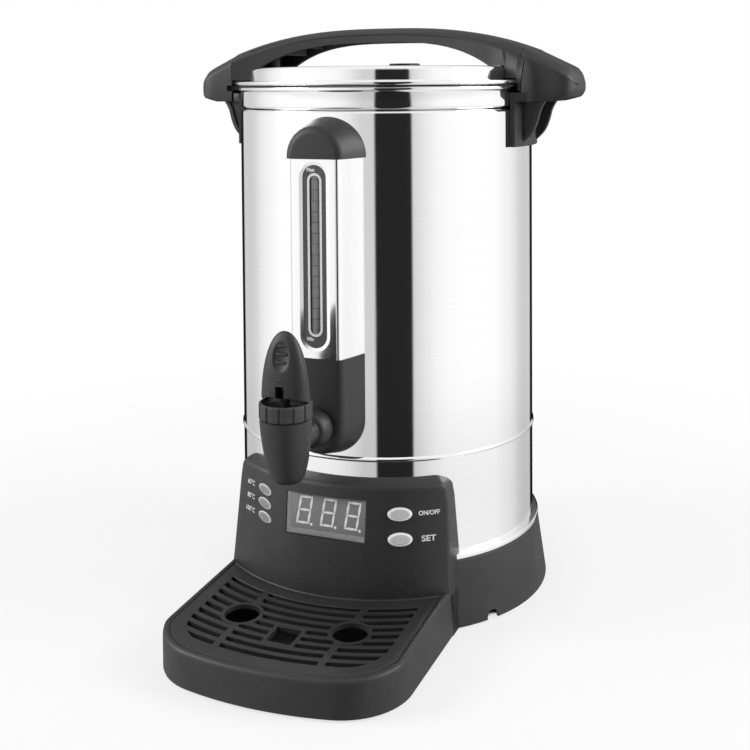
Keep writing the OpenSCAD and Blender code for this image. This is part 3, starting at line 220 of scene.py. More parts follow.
def piece(name, shape, body, slot, finish, *nodes, sharp=32):
    """Sets a finished shape into the part's frame, on its body and in place of its nodes."""
    placed(shape, Matrix.Translation((0, AXIS_Y, 0)) @ Matrix.Scale(MILLIMETRE, 4))
    mesh = bpy.data.meshes.new(name)
    shape.to_mesh(mesh)
    shape.free()
    mesh.shade_smooth()
    mesh.set_sharp_from_angle(angle=math.radians(sharp))
    mesh.materials.append(finish)
    made = bpy.data.objects.new(name, mesh)
    bpy.context.collection.objects.link(made)
    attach(made, body)
    if nodes:
        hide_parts(*nodes)
    return made


ALONG_Y = Matrix.Rotation(math.radians(-90), 4, "X")
black_plastic = moulded("charcoal_plastic", (0.010, 0.010, 0.0104), (0.019, 0.019, 0.0197), 0.52)
skirt = turned(rounded([(96, 42.1), (96, 44.5), (111.7, 44.5, 0.9), (117.9, 1.2, 1.0), (115.3, 1.2, 0.5),
                        (109, 42.1), (96, 42.1)]))
NOTCH_R, NOTCH_Z = 5, 2.2
for angle in (-58, 58):
    around = Matrix.Rotation(math.radians(angle), 4, "Z")
    skirt = cut(skirt, rod(NOTCH_R, 14, around @ Matrix.Translation((0, -120, NOTCH_Z)) @ ALONG_Y))
inlet_pad = cut(block((-18, 104, 8.4), (18, 118.4, 37.4), 0.8), block((-12, 100, 13.4), (12, 125, 32.4)))
piece("base_skirt_moulding", joined(skirt, inlet_pad), "urn_body", "black_plastic", black_plastic, "base_skirt")


# Feet, bottom cover, mains inlet and the works inside: rubber feet in a zinc-plated cover, a moulded
# inlet, circuit boards and a cast heater under the tank, with the seals, screws and brass fittings.
# Their solids are shown as they are, each in the finish of its material.
def metal(name, dark, light, rough, scratch):
    """Bare or plated metal with fine lines along one axis."""
    made, shader, place = surface(name, metallic=1.0)
    lines = place.noise(900, 2, scratch)
    patch = place.noise(60, 3)
    feed(shader, base_color=(lines * 0.5 + patch * 0.5).step(0.3, 0.7).tint((*dark, 1), (*light, 1)),
         roughness=rough + (lines - 0.5) * 0.2 + (patch - 0.5) * 0.15, normal=lines.bump(0.1, 0.00003))
    return made


works = {
    "rubber": moulded("foot_rubber", (0.012, 0.012, 0.013), (0.024, 0.024, 0.025), 0.72, 700, 0.0002),
    "zinc_steel": metal("zinc_plate", (0.42, 0.43, 0.45), (0.60, 0.61, 0.62), 0.38, (1, 0.05, 1)),
    "inlet_plastic": moulded("inlet_plastic", (0.010, 0.010, 0.010), (0.020, 0.020, 0.020), 0.40),
    "cast_aluminium": metal("cast_aluminium", (0.46, 0.46, 0.47), (0.66, 0.66, 0.67), 0.52, (1, 1, 1)),
    "nozzle_brass": metal("turned_brass", (0.58, 0.42, 0.18), (0.74, 0.58, 0.30), 0.30, (1, 0.1, 1)),
    "silicone": moulded("clear_silicone", (0.50, 0.51, 0.51), (0.60, 0.61, 0.61), 0.50, 900),
    "grey_plastic": moulded("plunger_plastic", (0.014, 0.014, 0.015), (0.026, 0.026, 0.027), 0.36),
    "display_plastic": moulded("display_block", (0.016, 0.016, 0.018), (0.028, 0.028, 0.030), 0.50),
    "board": moulded("circuit_board", (0.012, 0.085, 0.035), (0.030, 0.140, 0.060), 0.45, 1100, 0.0001),
}
slot_of = {part["node"]: part["material_slot"] for part in frame["record"]["subparts"]}
for name, shown in frame["nodes"].items():
    if slot_of[name] in works:
        shown.data.materials.clear()
        shown.data.materials.append(works[slot_of[name]])


# Trim ring, outer shell and tank: stainless sheet polished to a mirror. The shell stands on the ring,
# has one rolled bead, and its shoulder turns in under the collar of the tank.
def polished(name, lines, rough):
    """Mirror-polished stainless steel with faint polishing lines and finger haze."""
    made, shader, place = surface(name, metallic=1.0)
    fine = place.noise(1, 3, lines)
    haze = place.noise(16, 4)
    tone = (fine * 0.6 + haze * 0.4).step(0.25, 0.75)
    feed(shader, base_color=tone.tint((0.95, 0.95, 0.955, 1), (0.985, 0.985, 0.985, 1)),
         roughness=rough + haze.step(0.45, 0.8) * 0.03 + fine.step(0.5, 0.8) * 0.03)
    return made


round_steel = polished("polished_round_steel", (8, 8, 2200), 0.04)
piece("trim_ring_bright", turned(rounded([(102, 44.6), (111.9, 44.6, 1.3), (111.9, 48.4, 1.3), (102, 48.4),
                                          (102, 44.6)])), "urn_body", "polished_steel", round_steel, "trim_ring")
SHELL_R, BEAD_Z, BEAD_H, BEAD_OUT = 108, 113.2, 3.2, 0.95
bead = [(SHELL_R + BEAD_OUT * math.sin(math.pi * k / 10), BEAD_Z + BEAD_H * k / 10) for k in range(11)]
shell = rounded([(107.2, 48.4), (SHELL_R, 48.4), (SHELL_R, 112.6), *bead, (SHELL_R, 117), (SHELL_R, 346.4, 2.6),
                 (103, 346.4), (103, 345.6), (107.2, 345.6, 2.0), (107.2, 48.4)])
piece("shell_sleeve", turned(shell, 240), "urn_body", "polished_steel", round_steel, "outer_shell")
collar = rounded([(93, 122.0), (98.8, 122.0), (98.8, 360.3), (106.9, 360.3), (106.9, 350), (104.6, 347.0),
                  (107.7, 347.0, 2.2), (107.7, 358.4), (108.1, 359.3, 0.6), (109.9, 359.6, 0.8), (109.9, 361.9, 1.0),
                  (98, 361.9, 1.4), (98, 122.8), (93, 122.8), (93, 122.0)])
piece("tank_wall_and_collar", turned(collar, 240), "urn_body", "polished_steel", round_steel, "inner_tank")
floor_disc = turned(rounded([(0, 122.85), (97.9, 122.85, 0.3), (97.9, 123.6, 0.3), (0, 123.6)]), 120)
piece("tank_floor_disc", floor_disc, "urn_body", "polished_steel", round_steel, "tank_floor")


# Console and drip tub: one charcoal moulding screwed to the base in front of the shell. The console
# leans back and follows the shell, the tub has a sloping rim and a step inside for its grille.
def loft(loops, caps=(True, True)):
    """A skin over closed loops of equal count, each drawn out of the one before."""
    made = bmesh.new()
    ring = [made.verts.new(point) for point in loops[0]]
    edges = first = [made.edges.new((ring[k - 1], ring[k])) for k in range(len(ring))]
    for loop in loops[1:]:
        drawn = bmesh.ops.extrude_edge_only(made, edges=edges)["geom"]
        fresh = {part for part in drawn if isinstance(part, bmesh.types.BMVert)}
        ring = [next(edge.other_vert(old) for edge in old.link_edges if edge.other_vert(old) in fresh) for old in ring]
        for corner, point in zip(ring, loop):
            corner.co = point
        edges = [made.edges.get((ring[k - 1], ring[k])) for k in range(len(ring))]
    for rim, wanted in zip((first, edges), caps):
        if wanted:
            bmesh.ops.contextual_create(made, geom=rim)
    bmesh.ops.recalc_face_normals(made, faces=made.faces)
    return made


FOOT_Z, HALF_W, DRAFT = 1.2, 82, math.tan(math.radians(3.4))
FACE_TOP, FACE_FOOT, FACE_TILT = 99.2, 29.23, 6.93
FACE_TOP_R, FACE_RUN, CONSOLE_REAR = 117.5, 8.5, -52


def face_r(z):
    """How far from the body's axis the leaning face lies at a height."""
    return FACE_TOP_R + (FACE_TOP - z) * FACE_RUN / (FACE_TOP - FACE_FOOT)


def on_face(angle, z):
    """Where something sits on the console's face, with -Y pointing out of it."""
    return (Matrix.Rotation(math.radians(angle), 4, "Z") @ Matrix.Translation((0, -face_r(z), z))
            @ Matrix.Rotation(math.radians(-FACE_TILT), 4, "X"))


def console_loop(z, radius, half, corner):
    """The console's plan at one height: sides, rounded front edges and the curved face."""
    reach = half - corner
    turn = math.asin(reach / (radius - corner))
    middle = Vector((reach, -(radius - corner) * math.cos(turn)))
    right = [Vector((radius * math.sin(turn * k / 14), -radius * math.cos(turn * k / 14))) for k in range(14)]
    for k in range(7):
        swing = turn + (math.pi / 2 - turn) * k / 6
        right.append(middle + corner * Vector((math.sin(swing), -math.cos(swing))))
    right += [Vector((half, middle.y + (CONSOLE_REAR - middle.y) * k / 3)) for k in (1, 2, 3)]
    return [(p.x, p.y, z) for p in right] + [(-p.x, p.y, z) for p in reversed(right[1:])]


SILL_Z, SILL_R, BROW_Z, EDGE_R = 29.2, 126, 96.4, 3.4
CONSOLE_TOP, SHOULDER_R = 103, 10
brow = rounded([(BROW_Z, 117.84), (99.9, 117.4, 2.6), (102.9, 108.2)], 6)
levels = [(FOOT_Z, SILL_R, 0.8), (SILL_Z, SILL_R, 2.4)]
levels += [(z, face_r(z), EDGE_R) for z in (SILL_Z + (BROW_Z - SILL_Z) * k / 8 for k in range(1, 9))]
levels += [(z, radius, EDGE_R) for z, radius in brow[1:]] + [(CONSOLE_TOP, 107.6, EDGE_R)]
loops = []
for z, radius, corner in levels:
    half = HALF_W - (z - FOOT_Z) * DRAFT
    over = z - (CONSOLE_TOP - SHOULDER_R)
    if over >= 0:
        half += math.sqrt(max(SHOULDER_R ** 2 - over * over, 4)) - SHOULDER_R
    loops.append(console_loop(z, radius, half, corner))
console = loft(loops)
PANEL = on_face(0, 77.72)
console = cut(console, placed(block((-28.75, -12, -13.75), (28.75, 5.9, 13.75), 0.5, 2), PANEL))
BUTTON_HOLE, LAMP_HOLE, HOLE_DEPTH = (17, 9.3), (14.5, 7.2), 8
button_places = [on_face(24.6, z) for z in (82.72, 66.72)]
lamp_places = [on_face(angle, z) @ Matrix.Rotation(math.radians(12), 4, "Y")
               for angle, z in ((-24.0, 87.02), (-23.6, 78.12), (-23.0, 69.22))]
for (wide, high), places in ((BUTTON_HOLE, button_places), (LAMP_HOLE, lamp_places)):
    for place in places:
        hole = place @ Matrix.Translation((0, -HOLE_DEPTH, 0)) @ ALONG_Y @ Matrix.Diagonal((wide / 2, high / 2, 1, 1))
        console = cut(console, rod(1, 2 * HOLE_DEPTH, hole))

TRAY_R, CORNER_R, CORNER_X, CORNER_Y = 222, 44, 38.0, -173.9
RIM_Z, RIM_SLOPE, TUB_REAR, SIDE_LEAN = 24.2, math.tan(math.radians(3)), -58.0, 1.6


def tray_loop(inset, back=None, z=None, drop=0.0):
    """The tub's outline at an inset, straight or round behind, at a height or a drop below its sloping rim."""
    front_r, corner_r, side = TRAY_R - inset, CORNER_R - inset, HALF_W - inset
    straight, turn = math.radians(-90), math.atan2(CORNER_Y, CORNER_X)
    right = [Vector((front_r * math.cos(a), front_r * math.sin(a)))
             for a in (straight + (turn - straight) * k / 8 for k in range(8))]
    right += [Vector((CORNER_X + corner_r * math.cos(a), CORNER_Y + corner_r * math.sin(a)))
              for a in (turn * (1 - k / 14) for k in range(15))]
    rear = -math.sqrt(back * back - (side - SIDE_LEAN) ** 2) if back else TUB_REAR
    right += [Vector((side, CORNER_Y + (rear - CORNER_Y) * k / 5)) for k in range(1, 6)]
    if back:
        swing = math.asin((side - SIDE_LEAN) / back)
        right += [Vector((back * math.sin(a), -back * math.cos(a)))
                  for a in (swing * (1 - k / 10) for k in range(1, 11))]
    else:
        right += [Vector((side * (1 - k / 10), rear)) for k in range(1, 11)]
    points = []
    for p in right:
        level = RIM_Z + (TRAY_R + p.y) * RIM_SLOPE - drop if z is None else z
        points.append((min(p.x, side - (level - FOOT_Z) * DRAFT), p.y, level))
    return points + [(-x, y, level) for x, y, level in reversed(points[1:-1])]


foot_rows = [(1.2, 1.2), (0.3, 1.5), (0, 2.4)]
rim_rows = [(0, 3.2), (0.3, 1.6), (1.0, 0.6), (2.0, 0.1), (3.2, 0)]
step_rows = [(3.9, 0.15, 127.4), (4.2, 0.9, 127.8), (7.8, 0.9, 131.2), (8.0, 1.1, 131.3), (8.0, 3.8, 131.3),
             (11, 3.8, 134.5)]
tub = loft([*(tray_loop(inset, z=z) for inset, z in foot_rows),
            *(tray_loop(inset, drop=drop) for inset, drop in rim_rows),
            *(tray_loop(inset, back, drop=drop) for inset, drop, back in step_rows), tray_loop(11, 134.5, z=3.7)])
piece("console_and_tub", joined(console, tub), "urn_body", "black_plastic", black_plastic, "control_housing", sharp=38)


# Drip grille: a loose charcoal moulding with curved slots, two round holes and a square one, which
# lies on the step of the tub. Its solid is shown, with the raised edge bead that its rim has.
frame["nodes"]["drip_grille"].data.materials.clear()
frame["nodes"]["drip_grille"].data.materials.append(black_plastic)
bead_rows = [(4.8, 0.8, 128.6), (4.8, 0.6, 128.6), (5.2, 0.45, 129.0), (9.0, 0.45, 133.2), (13.2, 0.5, 138.2),
             (13.4, 0.9, 138.4)]
edge_bead = loft([tray_loop(inset, back, drop=drop) for inset, drop, back in bead_rows], (False, False))
piece("grille_edge_bead", edge_bead, "grille", "black_plastic", black_plastic)


# Display: a smoked plastic window, glued into a deep recess of the face. Three white seven-segment digits,
# each with its point, and a grey border along two sides show in it.
def lens_finish():
    """Smoked plastic with a hard gloss and a slight haze."""
    made, shader, place = surface("smoked_window", coat_weight=0.6, coat_roughness=0.08)
    haze = place.noise(30, 3)
    feed(shader, base_color=haze.step(0.3, 0.7).tint((0.155, 0.155, 0.158, 1), (0.190, 0.190, 0.193, 1)),
         roughness=0.28 + (haze - 0.5) * 0.1)
    return made


def printed(name, dark, light, rough=0.5):
    """Printing ink or a lit-up segment, slightly uneven."""
    made, shader, place = surface(name)
    speck = place.noise(700, 2)
    feed(shader, base_color=speck.step(0.3, 0.7).tint((*dark, 1), (*light, 1)), roughness=rough + (speck - 0.5) * 0.15)
    return made


window = block((-28.7, 4.0, -13.7), (28.7, 5.85, 13.7), 0.3, 2)
piece("display_window", placed(window, PANEL), "urn_body", "display_lens", lens_finish(), "display_lens")
TO_FRONT = Matrix.Rotation(math.radians(90), 4, "X")
UPRIGHT = Matrix.Rotation(math.radians(90), 4, "Y") @ Matrix.Diagonal((1.04, 1, 1, 1))
LEAN = Matrix.Identity(4)
LEAN[0][2] = 0.14
SEGMENT_Y, DIGIT_Z, DIGIT_HALF_W, DIGIT_HALF_H = 3.95, 2.7, 4.1, 8.4
strokes = [(0, 1, False), (0, 0, False), (0, -1, False), (-1, 0.5, True), (1, 0.5, True), (-1, -0.5, True),
           (1, -0.5, True)]
digits = []
for middle in (-15.4, 2.0, 19.4):
    for across, up, upright in strokes:
        bar = bmesh.new()
        bmesh.ops.create_circle(bar, cap_ends=True, segments=6, radius=1)
        for corner in bar.verts:
            corner.co.x *= 1.0 if abs(corner.co.y) < 0.1 else 1.6
        placed(bar, TO_FRONT @ Matrix.Diagonal((3.45, 0.85, 1, 1)))
        if upright:
            placed(bar, UPRIGHT)
        placed(bar, LEAN @ Matrix.Translation((across * DIGIT_HALF_W, 0, up * DIGIT_HALF_H)))
        digits.append(placed(bar, Matrix.Translation((middle, 0, DIGIT_Z))))
    point = bmesh.new()
    bmesh.ops.create_circle(point, cap_ends=True, segments=16, radius=0.95)
    digits.append(placed(point, Matrix.Translation((middle + 5.2, 0, -6.3)) @ TO_FRONT))
frame_grey = printed("display_frame_grey", (0.22, 0.22, 0.222), (0.30, 0.30, 0.302), 0.35)
edges = joined(block((-28.3, 3.94, -13.3), (-25.2, 4.1, 13.3)), block((-25.2, 3.94, -13.3), (28.3, 4.1, -9.6)))
piece("display_frame", placed(edges, PANEL), "urn_body", "display_plastic", frame_grey)
segment_white = printed("segment_white", (0.76, 0.76, 0.76), (0.86, 0.86, 0.86), 0.4)
piece("display_segments", placed(joined(*digits), PANEL @ Matrix.Translation((0, SEGMENT_Y, 0))),
      "urn_body", "display_plastic", segment_white)


# Buttons, lights and printed words: two oval push buttons on the right and three oval light pipes on the
# left, moulded in grey plastic with a painted highlight on their rounded edge and set through holes of the
# face. White words and temperatures are printed beside them.
def cap_with_painted_highlight(name, dark, light, edge):
    """Grey plastic whose rounded edge is painted lighter than its face, as a painted highlight."""
    made, shader, place = surface(name, coat_weight=0.35, coat_roughness=0.15)
    rim = place.node("ShaderNodeAttribute", {"attribute_name": "rim"}, out=2)
    speck = place.noise(600, 2)
    face = (speck * 0.5 + place.noise(70, 2) * 0.5).step(0.3, 0.7).tint((*dark, 1), (*light, 1))
    # The edge colour, on the marked rim, is a painted highlight.
    feed(shader, base_color=rim.tint(face, (*edge, 1)), roughness=0.34 + (speck - 0.5) * 0.12,
         normal=speck.bump(0.12, 0.00003))
    return made


def oval_cap(wide, high, front, back, dome):
    """An oval cap, crowned in front, whose rounded edge is marked for the painted highlight."""
    tall = back - front
    made = turned(rounded([(0, tall + dome), (0.66, tall + dome * 0.8, 0.1), (0.86, tall + dome * 0.45, 0.06),
                           (0.985, tall - 0.1, 0.08), (1, tall - 0.7), (1, 0), (0, 0)], 4), 64)
    painted_highlight_mask = made.verts.layers.float.new("rim")
    for corner in made.verts:
        out = math.hypot(corner.co.x, corner.co.y)
        corner[painted_highlight_mask] = 1.0 if 0.80 < out and corner.co.z > 0.5 else 0.0
    placed(made, Matrix.Diagonal((wide / 2, high / 2, 1, 1)))
    return placed(made, Matrix.Translation((0, back, 0)) @ TO_FRONT)


# The last colour of each finish is the painted highlight on the rounded edge.
button_grey = cap_with_painted_highlight("button_grey", (0.54, 0.54, 0.545), (0.61, 0.61, 0.615), (0.88, 0.88, 0.88))
lamp_grey = cap_with_painted_highlight("lamp_grey", (0.20, 0.20, 0.203), (0.26, 0.26, 0.263), (0.50, 0.50, 0.50))
for name, body, place in zip(("on_off_button", "set_button"), ("on_off_key", "set_key"), button_places):
    cap = placed(oval_cap(16.3, 8.6, -1.3, 3.5, 0.6), place)
    stem = rod(1.6, 2.4, place @ Matrix.Translation((0, 3, 0)) @ ALONG_Y)
    piece(name + "_cap", joined(cap, stem), body, "button_plastic", button_grey, name)
lamps = [placed(oval_cap(13.9, 6.6, -0.4, 5, 0.5), place) for place in lamp_places]
piece("light_pipes", joined(*lamps), "urn_body", "button_plastic", lamp_grey, "indicator_lenses")


def words(text, size, thicken):
    """Flat lettering that faces -Y."""
    line = bpy.data.curves.new("lettering", "FONT")
    line.body, line.size, line.offset, line.extrude = text, size, thicken, 0.02
    line.align_x, line.align_y = "CENTER", "CENTER"
    shown = bpy.data.objects.new("lettering", line)
    bpy.context.collection.objects.link(shown)
    made = bmesh.new()
    made.from_mesh(shown.evaluated_get(bpy.context.evaluated_depsgraph_get()).to_mesh())
    bpy.data.objects.remove(shown)
    bpy.data.curves.remove(line)
    return placed(made, TO_FRONT)


white_print = printed("white_print", (0.70, 0.70, 0.70), (0.80, 0.80, 0.80))
PRINT_Y, THIN, THICK = -0.16, 0.07, 0.11
labels = [("ON/OFF", 4.0, THICK, 1.0, 34.0, 82.6), ("SET", 5.2, THICK, 1.22, 33.6, 66.4),
          ("60°C", 4.4, THIN, 1.05, -32.0, 87.8), ("80°C", 4.4, THIN, 1.05, -31.4, 78.9),
          ("100°C", 4.4, THIN, 1.05, -31.2, 70.2)]
lettering = []
for text, size, thicken, wide, angle, z in labels:
    spot = on_face(angle, z) @ Matrix.Translation((0, PRINT_Y, 0)) @ Matrix.Diagonal((wide, 1, 1, 1))
    lettering.append(placed(words(text, size, thicken), spot))
piece("console_lettering", joined(*lettering), "urn_body", "black_plastic", white_print, sharp=20)


# Tap housing and gauge cap: two charcoal hoods on the shell's front, above and below the gauge cover,
# with soft front edges. The housing hides the fitting that joins tank, tube and tap.
POD_Y, POD_HALF, POD_DEPTH, POD_LEAN = -130.0, 18.25, 27.5, math.tan(math.radians(14.2))
TAP_Z, HOUSING_TOP, COVER_TOP = 141.59, 185.99, 315.71


def hood_loop(back, inset, centre, flat):
    """The hood's outline at a distance behind its front: a half circle with a straight run to a flat edge."""
    half, y = POD_HALF + back * POD_LEAN - inset, POD_Y + back
    up = 1 if centre > flat else -1
    arc = [(half * math.cos(a), y, centre + up * half * math.sin(a)) for a in (math.pi * k / 36 for k in range(37))]
    return arc + [(half * share, y, flat) for share in (-1, -0.5, 0, 0.5, 1)]


def hood(centre, flat, edge, over):
    """A hood with a rounded front edge that runs back into the shell; it can stand proud of the cover."""
    bends = [math.radians(90 * k / 7) for k in range(8)]
    loops = [hood_loop(edge * (1 - math.cos(a)) - over, edge * (1 - math.sin(a)) - over, centre, flat) for a in bends]
    return loft([*loops, hood_loop(POD_DEPTH, -over, centre, flat)])


cap_hood = hood(COVER_TOP + 1.4, COVER_TOP + 0.1, 4.5, 1.6)
piece("gauge_cap_hood", cap_hood, "urn_body", "black_plastic", black_plastic, "gauge_cap")
tap_hood = hood(TAP_Z, HOUSING_TOP - 0.1, 4.0, 0)
piece("tap_housing_hood", tap_hood, "urn_body", "black_plastic", black_plastic, "tap_housing")


# Gauge cover: stainless sheet folded round the level gauge and held between the two hoods. An oval
# opening with a rolled edge is pressed into its front.
def pod_plan(z):
    """The cover's plan at one height, with front edges of a 4 mm radius."""
    right = [(POD_HALF - 4 + 4 * math.sin(a), POD_Y + 4 - 4 * math.cos(a), z)
             for a in (math.radians(75.8) * k / 8 for k in range(9))]
    right.append((POD_HALF + POD_DEPTH * POD_LEAN, POD_Y + POD_DEPTH, z))
    return right + [(-x, y, z) for x, y, z in reversed(right)]


def oval_skin(rows, caps=(False, False)):
    """A skin over upright ovals, each given by its half width, foot, top and place behind the cover's front."""
    loops = []
    for half, low, high, back in rows:
        top = [(half * math.cos(a), POD_Y + back, high - half + half * math.sin(a))
               for a in (math.pi * k / 16 for k in range(17))]
        loops.append(top + [(-x, y, low + half - (z - high + half)) for x, y, z in top])
    return loft(loops, caps)


flat_steel = polished("polished_sheet_steel", (1500, 40, 12), 0.15)
cover = loft([pod_plan(HOUSING_TOP + 0.1), pod_plan(COVER_TOP - 0.1)])
cover = cut(cover, oval_skin([(10.65, 190.4, 313.9, -2), (10.65, 190.4, 313.9, 4.5)], (True, True)))
press = oval_skin([(10.9, 190.1, 314.2, 0.6), (10.9, 190.1, 314.2, 0.2), (10.6, 190.4, 313.9, -0.05),
                   (10.0, 191.0, 313.3, 0.1), (8.3, 192.7, 312.0, 0.5), (8.1, 192.9, 311.8, 1.5)])
piece("gauge_cover_sheet", joined(cover, press), "urn_body", "polished_steel", flat_steel, "gauge_cover")


# Scale plate and level tube: a dark oval plate behind the opening, a white printed ring round its slot,
# and the tube's grey face with a fine scale on it, marked Max and Min.
plate_grey = moulded("scale_plate_grey", (0.050, 0.050, 0.051), (0.072, 0.072, 0.073), 0.45)
plate = oval_skin([(8.4, 192.6, 312.1, 2.0), (8.4, 192.6, 312.1, 0.8), (3.4, 201.8, 304.9, 0.8),
                   (3.3, 201.9, 304.8, 1.0), (3.3, 201.9, 304.8, 3)])
piece("scale_plate_oval", plate, "urn_body", "scale_plastic", plate_grey, "scale_plate")
ring = oval_skin([(5.15, 200.0, 306.7, 0.85), (5.05, 200.1, 306.6, 0.66), (3.6, 201.6, 305.1, 0.66),
                  (3.4, 201.8, 304.9, 1.0)])
marks = [placed(words(text, 3.3, 0.12), Matrix.Translation((x, POD_Y + 0.7, z)))
         for text, x, z in (("Max", -2.6, 308.7), ("Min", -3.6, 198.4))]
piece("scale_ring_and_marks", joined(ring, *marks), "urn_body", "scale_plastic", white_print)


def tube_finish():
    """Glossy glass over grey, lighter towards one side, with faint upright clouds."""
    made, shader, place = surface("level_tube_glass", coat_weight=0.8, coat_roughness=0.05)
    across = place.node("ShaderNodeSeparateXYZ", None, {0: place})
    cloud = place.noise(120, 2, (1, 1, 0.2))
    tone = across.step(-0.003, 0.003) * 0.7 + cloud * 0.3
    feed(shader, base_color=tone.tint((0.11, 0.11, 0.112, 1), (0.19, 0.19, 0.192, 1)),
         roughness=0.22 + (cloud - 0.5) * 0.1)
    return made


bulge = [(3.25 * math.sin(a), POD_Y + 2.1 - 1.1 * math.cos(a)) for a in (math.radians(-90 + 18 * k) for k in range(11))]
glass = loft([[(x, y, z) for x, y in bulge] + [(0, POD_Y + 3.5, z)] for z in (200.5, 306.2)])
piece("level_tube_face", glass, "urn_body", "tube_glass", tube_finish(), "sight_tube")
TICK_FOOT, TICK_STEP, TICK_BACK = 204.6, 1.75, POD_Y + 1.8
ticks = []
for number in range(57):
    z = TICK_FOOT + number * TICK_STEP
    if number % 4 == 0:
        ticks.append(block((-2.9, POD_Y + 0.93, z - 0.16), (2.9, TICK_BACK, z + 0.16)))
    elif number // 4 % 2 == 0:
        ticks.append(block((-2.7, POD_Y + 1.0, z - 0.10), (-0.4, TICK_BACK, z + 0.10)))
dark_print = printed("dark_print", (0.020, 0.020, 0.020), (0.035, 0.035, 0.035))
piece("level_scale_ticks", joined(*ticks), "urn_body", "scale_plastic", dark_print)


# Tap: a charcoal nozzle on a shank through the housing, closed above by a ribbed ring that is screwed on.
# The ring's top is hollowed, with a thin black disc in the hollow as painted shade, and the plunger comes up through
# its middle.
TAP_Y, BONNET_Z, NOZZLE_Z, NOZZLE_H, MOUTH_BACK = -174.0, 157.59, 119.69, 37.9, 2


def between(table, x):
    """Reads a value out of a table of (place, value)."""
    for (x0, v0), (x1, v1) in zip(table, table[1:]):
        if x <= x1:
            return v0 + (v1 - v0) * (x - x0) / (x1 - x0)
    return table[-1][1]


def disc_loop(radius, z, y, count=64):
    """A level circle about the tap's middle plane."""
    turns = [math.tau * k / count for k in range(count)]
    return [(radius * math.sin(a), y - radius * math.cos(a), z) for a in turns]


NOZZLE = [(0, 8.6), (0.03, 9.5), (0.09, 10.6), (0.16, 11.6), (0.3, 13.0), (0.5, 14.4), (0.7, 15.4), (0.9, 16.0),
          (1, 16.2)]
barrel_loops = []
for share in (1.045, 1.03, 0.95, 0.85, 0.75, 0.65, 0.55, 0.45, 0.36, 0.28, 0.2, 0.16, 0.12, 0.08, 0.05, 0.02):
    radius = between(NOZZLE, share) - (0.7 if share > 1.04 else 0)
    barrel_loops.append(disc_loop(radius, NOZZLE_Z + NOZZLE_H * share, TAP_Y + MOUTH_BACK * max(0, 1 - share)))
mouth = [(8.7, 0.2), (8.3, 0.0), (7.4, 0.0), (7.1, 0.4), (6.9, 6.0)]
barrel_loops += [disc_loop(radius, NOZZLE_Z + up, TAP_Y + MOUTH_BACK) for radius, up in mouth]
shank = turned(rounded([(0, 0), (8, 0), (8, 31.0, 0.6), (10.6, 32.2, 1.4), (12.6, 36.6, 2.4), (12.9, 41.6, 1.2),
                        (12.0, 43.9), (0, 43.9)]), 72)
placed(shank, Matrix.Translation((0, TAP_Y, TAP_Z)) @ ALONG_Y)
piece("tap_nozzle", joined(loft(barrel_loops), shank), "urn_body", "black_plastic", black_plastic, "tap_body")
ON_NOZZLE = Matrix.Translation((0, TAP_Y, BONNET_Z))
DENT_FIRST, DENT_STEP, DENT_HALF, DENT_DEEP = 12, 30, 3.2, 0.95
bonnet = turned(rounded([(13, 2.1), (15.7, 2.1, 0.3), (16.5, 2.7, 0.5), (16.5, 11.6, 0.5), (15.9, 12.2, 0.4),
                         (14.6, 12.2, 0.4), (14.2, 8.2), (2.8, 8.0)], 3), 288)
for corner in bonnet.verts:
    out = math.hypot(corner.co.x, corner.co.y)
    around = math.degrees(math.atan2(corner.co.x, -corner.co.y)) - DENT_FIRST + DENT_STEP / 2
    off = abs(around % DENT_STEP - DENT_STEP / 2)
    if out > 15.4 and off < DENT_HALF:
        dent = 1 - (off / DENT_HALF) ** 2
        corner.co.xy *= 1 - DENT_DEEP * dent / out
        corner.co.z += 0.3 * dent if corner.co.z < 3 else 0
dull_plastic = moulded("dull_charcoal_plastic", (0.022, 0.022, 0.0225), (0.036, 0.036, 0.037), 0.62)
# Painted shade: a thin, nearly black disc just above the floor of the ring's hollow stands in for the shade in its
# depth.
painted_shade_finish = moulded("painted_shade_in_hollow", (0.003, 0.003, 0.003), (0.006, 0.006, 0.006), 0.85)
painted_shade_disc = turned([(2.9, 8.3), (14.1, 8.3), (14.1, 8.4), (2.9, 8.4), (2.9, 8.3)], 96)
piece("tap_ring_painted_shade", placed(painted_shade_disc, ON_NOZZLE), "urn_body", "black_plastic", painted_shade_finish)
piece("tap_ribbed_ring", placed(bonnet, ON_NOZZLE), "urn_body", "black_plastic", dull_plastic, "tap_bonnet")


# Tap lever: a leaf-shaped charcoal moulding, pinned across the plunger's head. Its front has a shallow
# thumb rest with three raised bars, a small dimple and a slot over the plunger.
LEVER_Z, LEVER_H, LEVER_HALF, LEVER_DEEP = 170.39, 42.8, 15.7, 8.5
FOOT_RISE, HEEL_DROP = 0.40, 0.45
leaf = []
for k in range(19):
    t = min(math.sin(math.radians(5 * k)), 0.9995)
    s = 1 - t * t
    half, deep = LEVER_HALF * s ** 0.47, LEVER_DEEP * s ** 0.55
    ring = []
    for a in (math.tau * n / 56 for n in range(56)):
        x = half * math.copysign(abs(math.sin(a)) ** 0.86, math.sin(a))
        y = -deep * math.copysign(abs(math.cos(a)) ** 0.86, math.cos(a))
        rise = max(0, -y) * FOOT_RISE - HEEL_DROP * (y > -1)
        ring.append((x, y + TAP_Y, LEVER_Z + LEVER_H * t + rise * max(0, 1 - t * 6)))
    leaf.append(ring)
lever = cut(loft(leaf), block((-3.0, TAP_Y - 12, LEVER_Z - 2), (3.0, TAP_Y + 3.0, LEVER_Z + 10)))
scoop = bmesh.new()
bmesh.ops.create_uvsphere(scoop, u_segments=40, v_segments=24, radius=1)
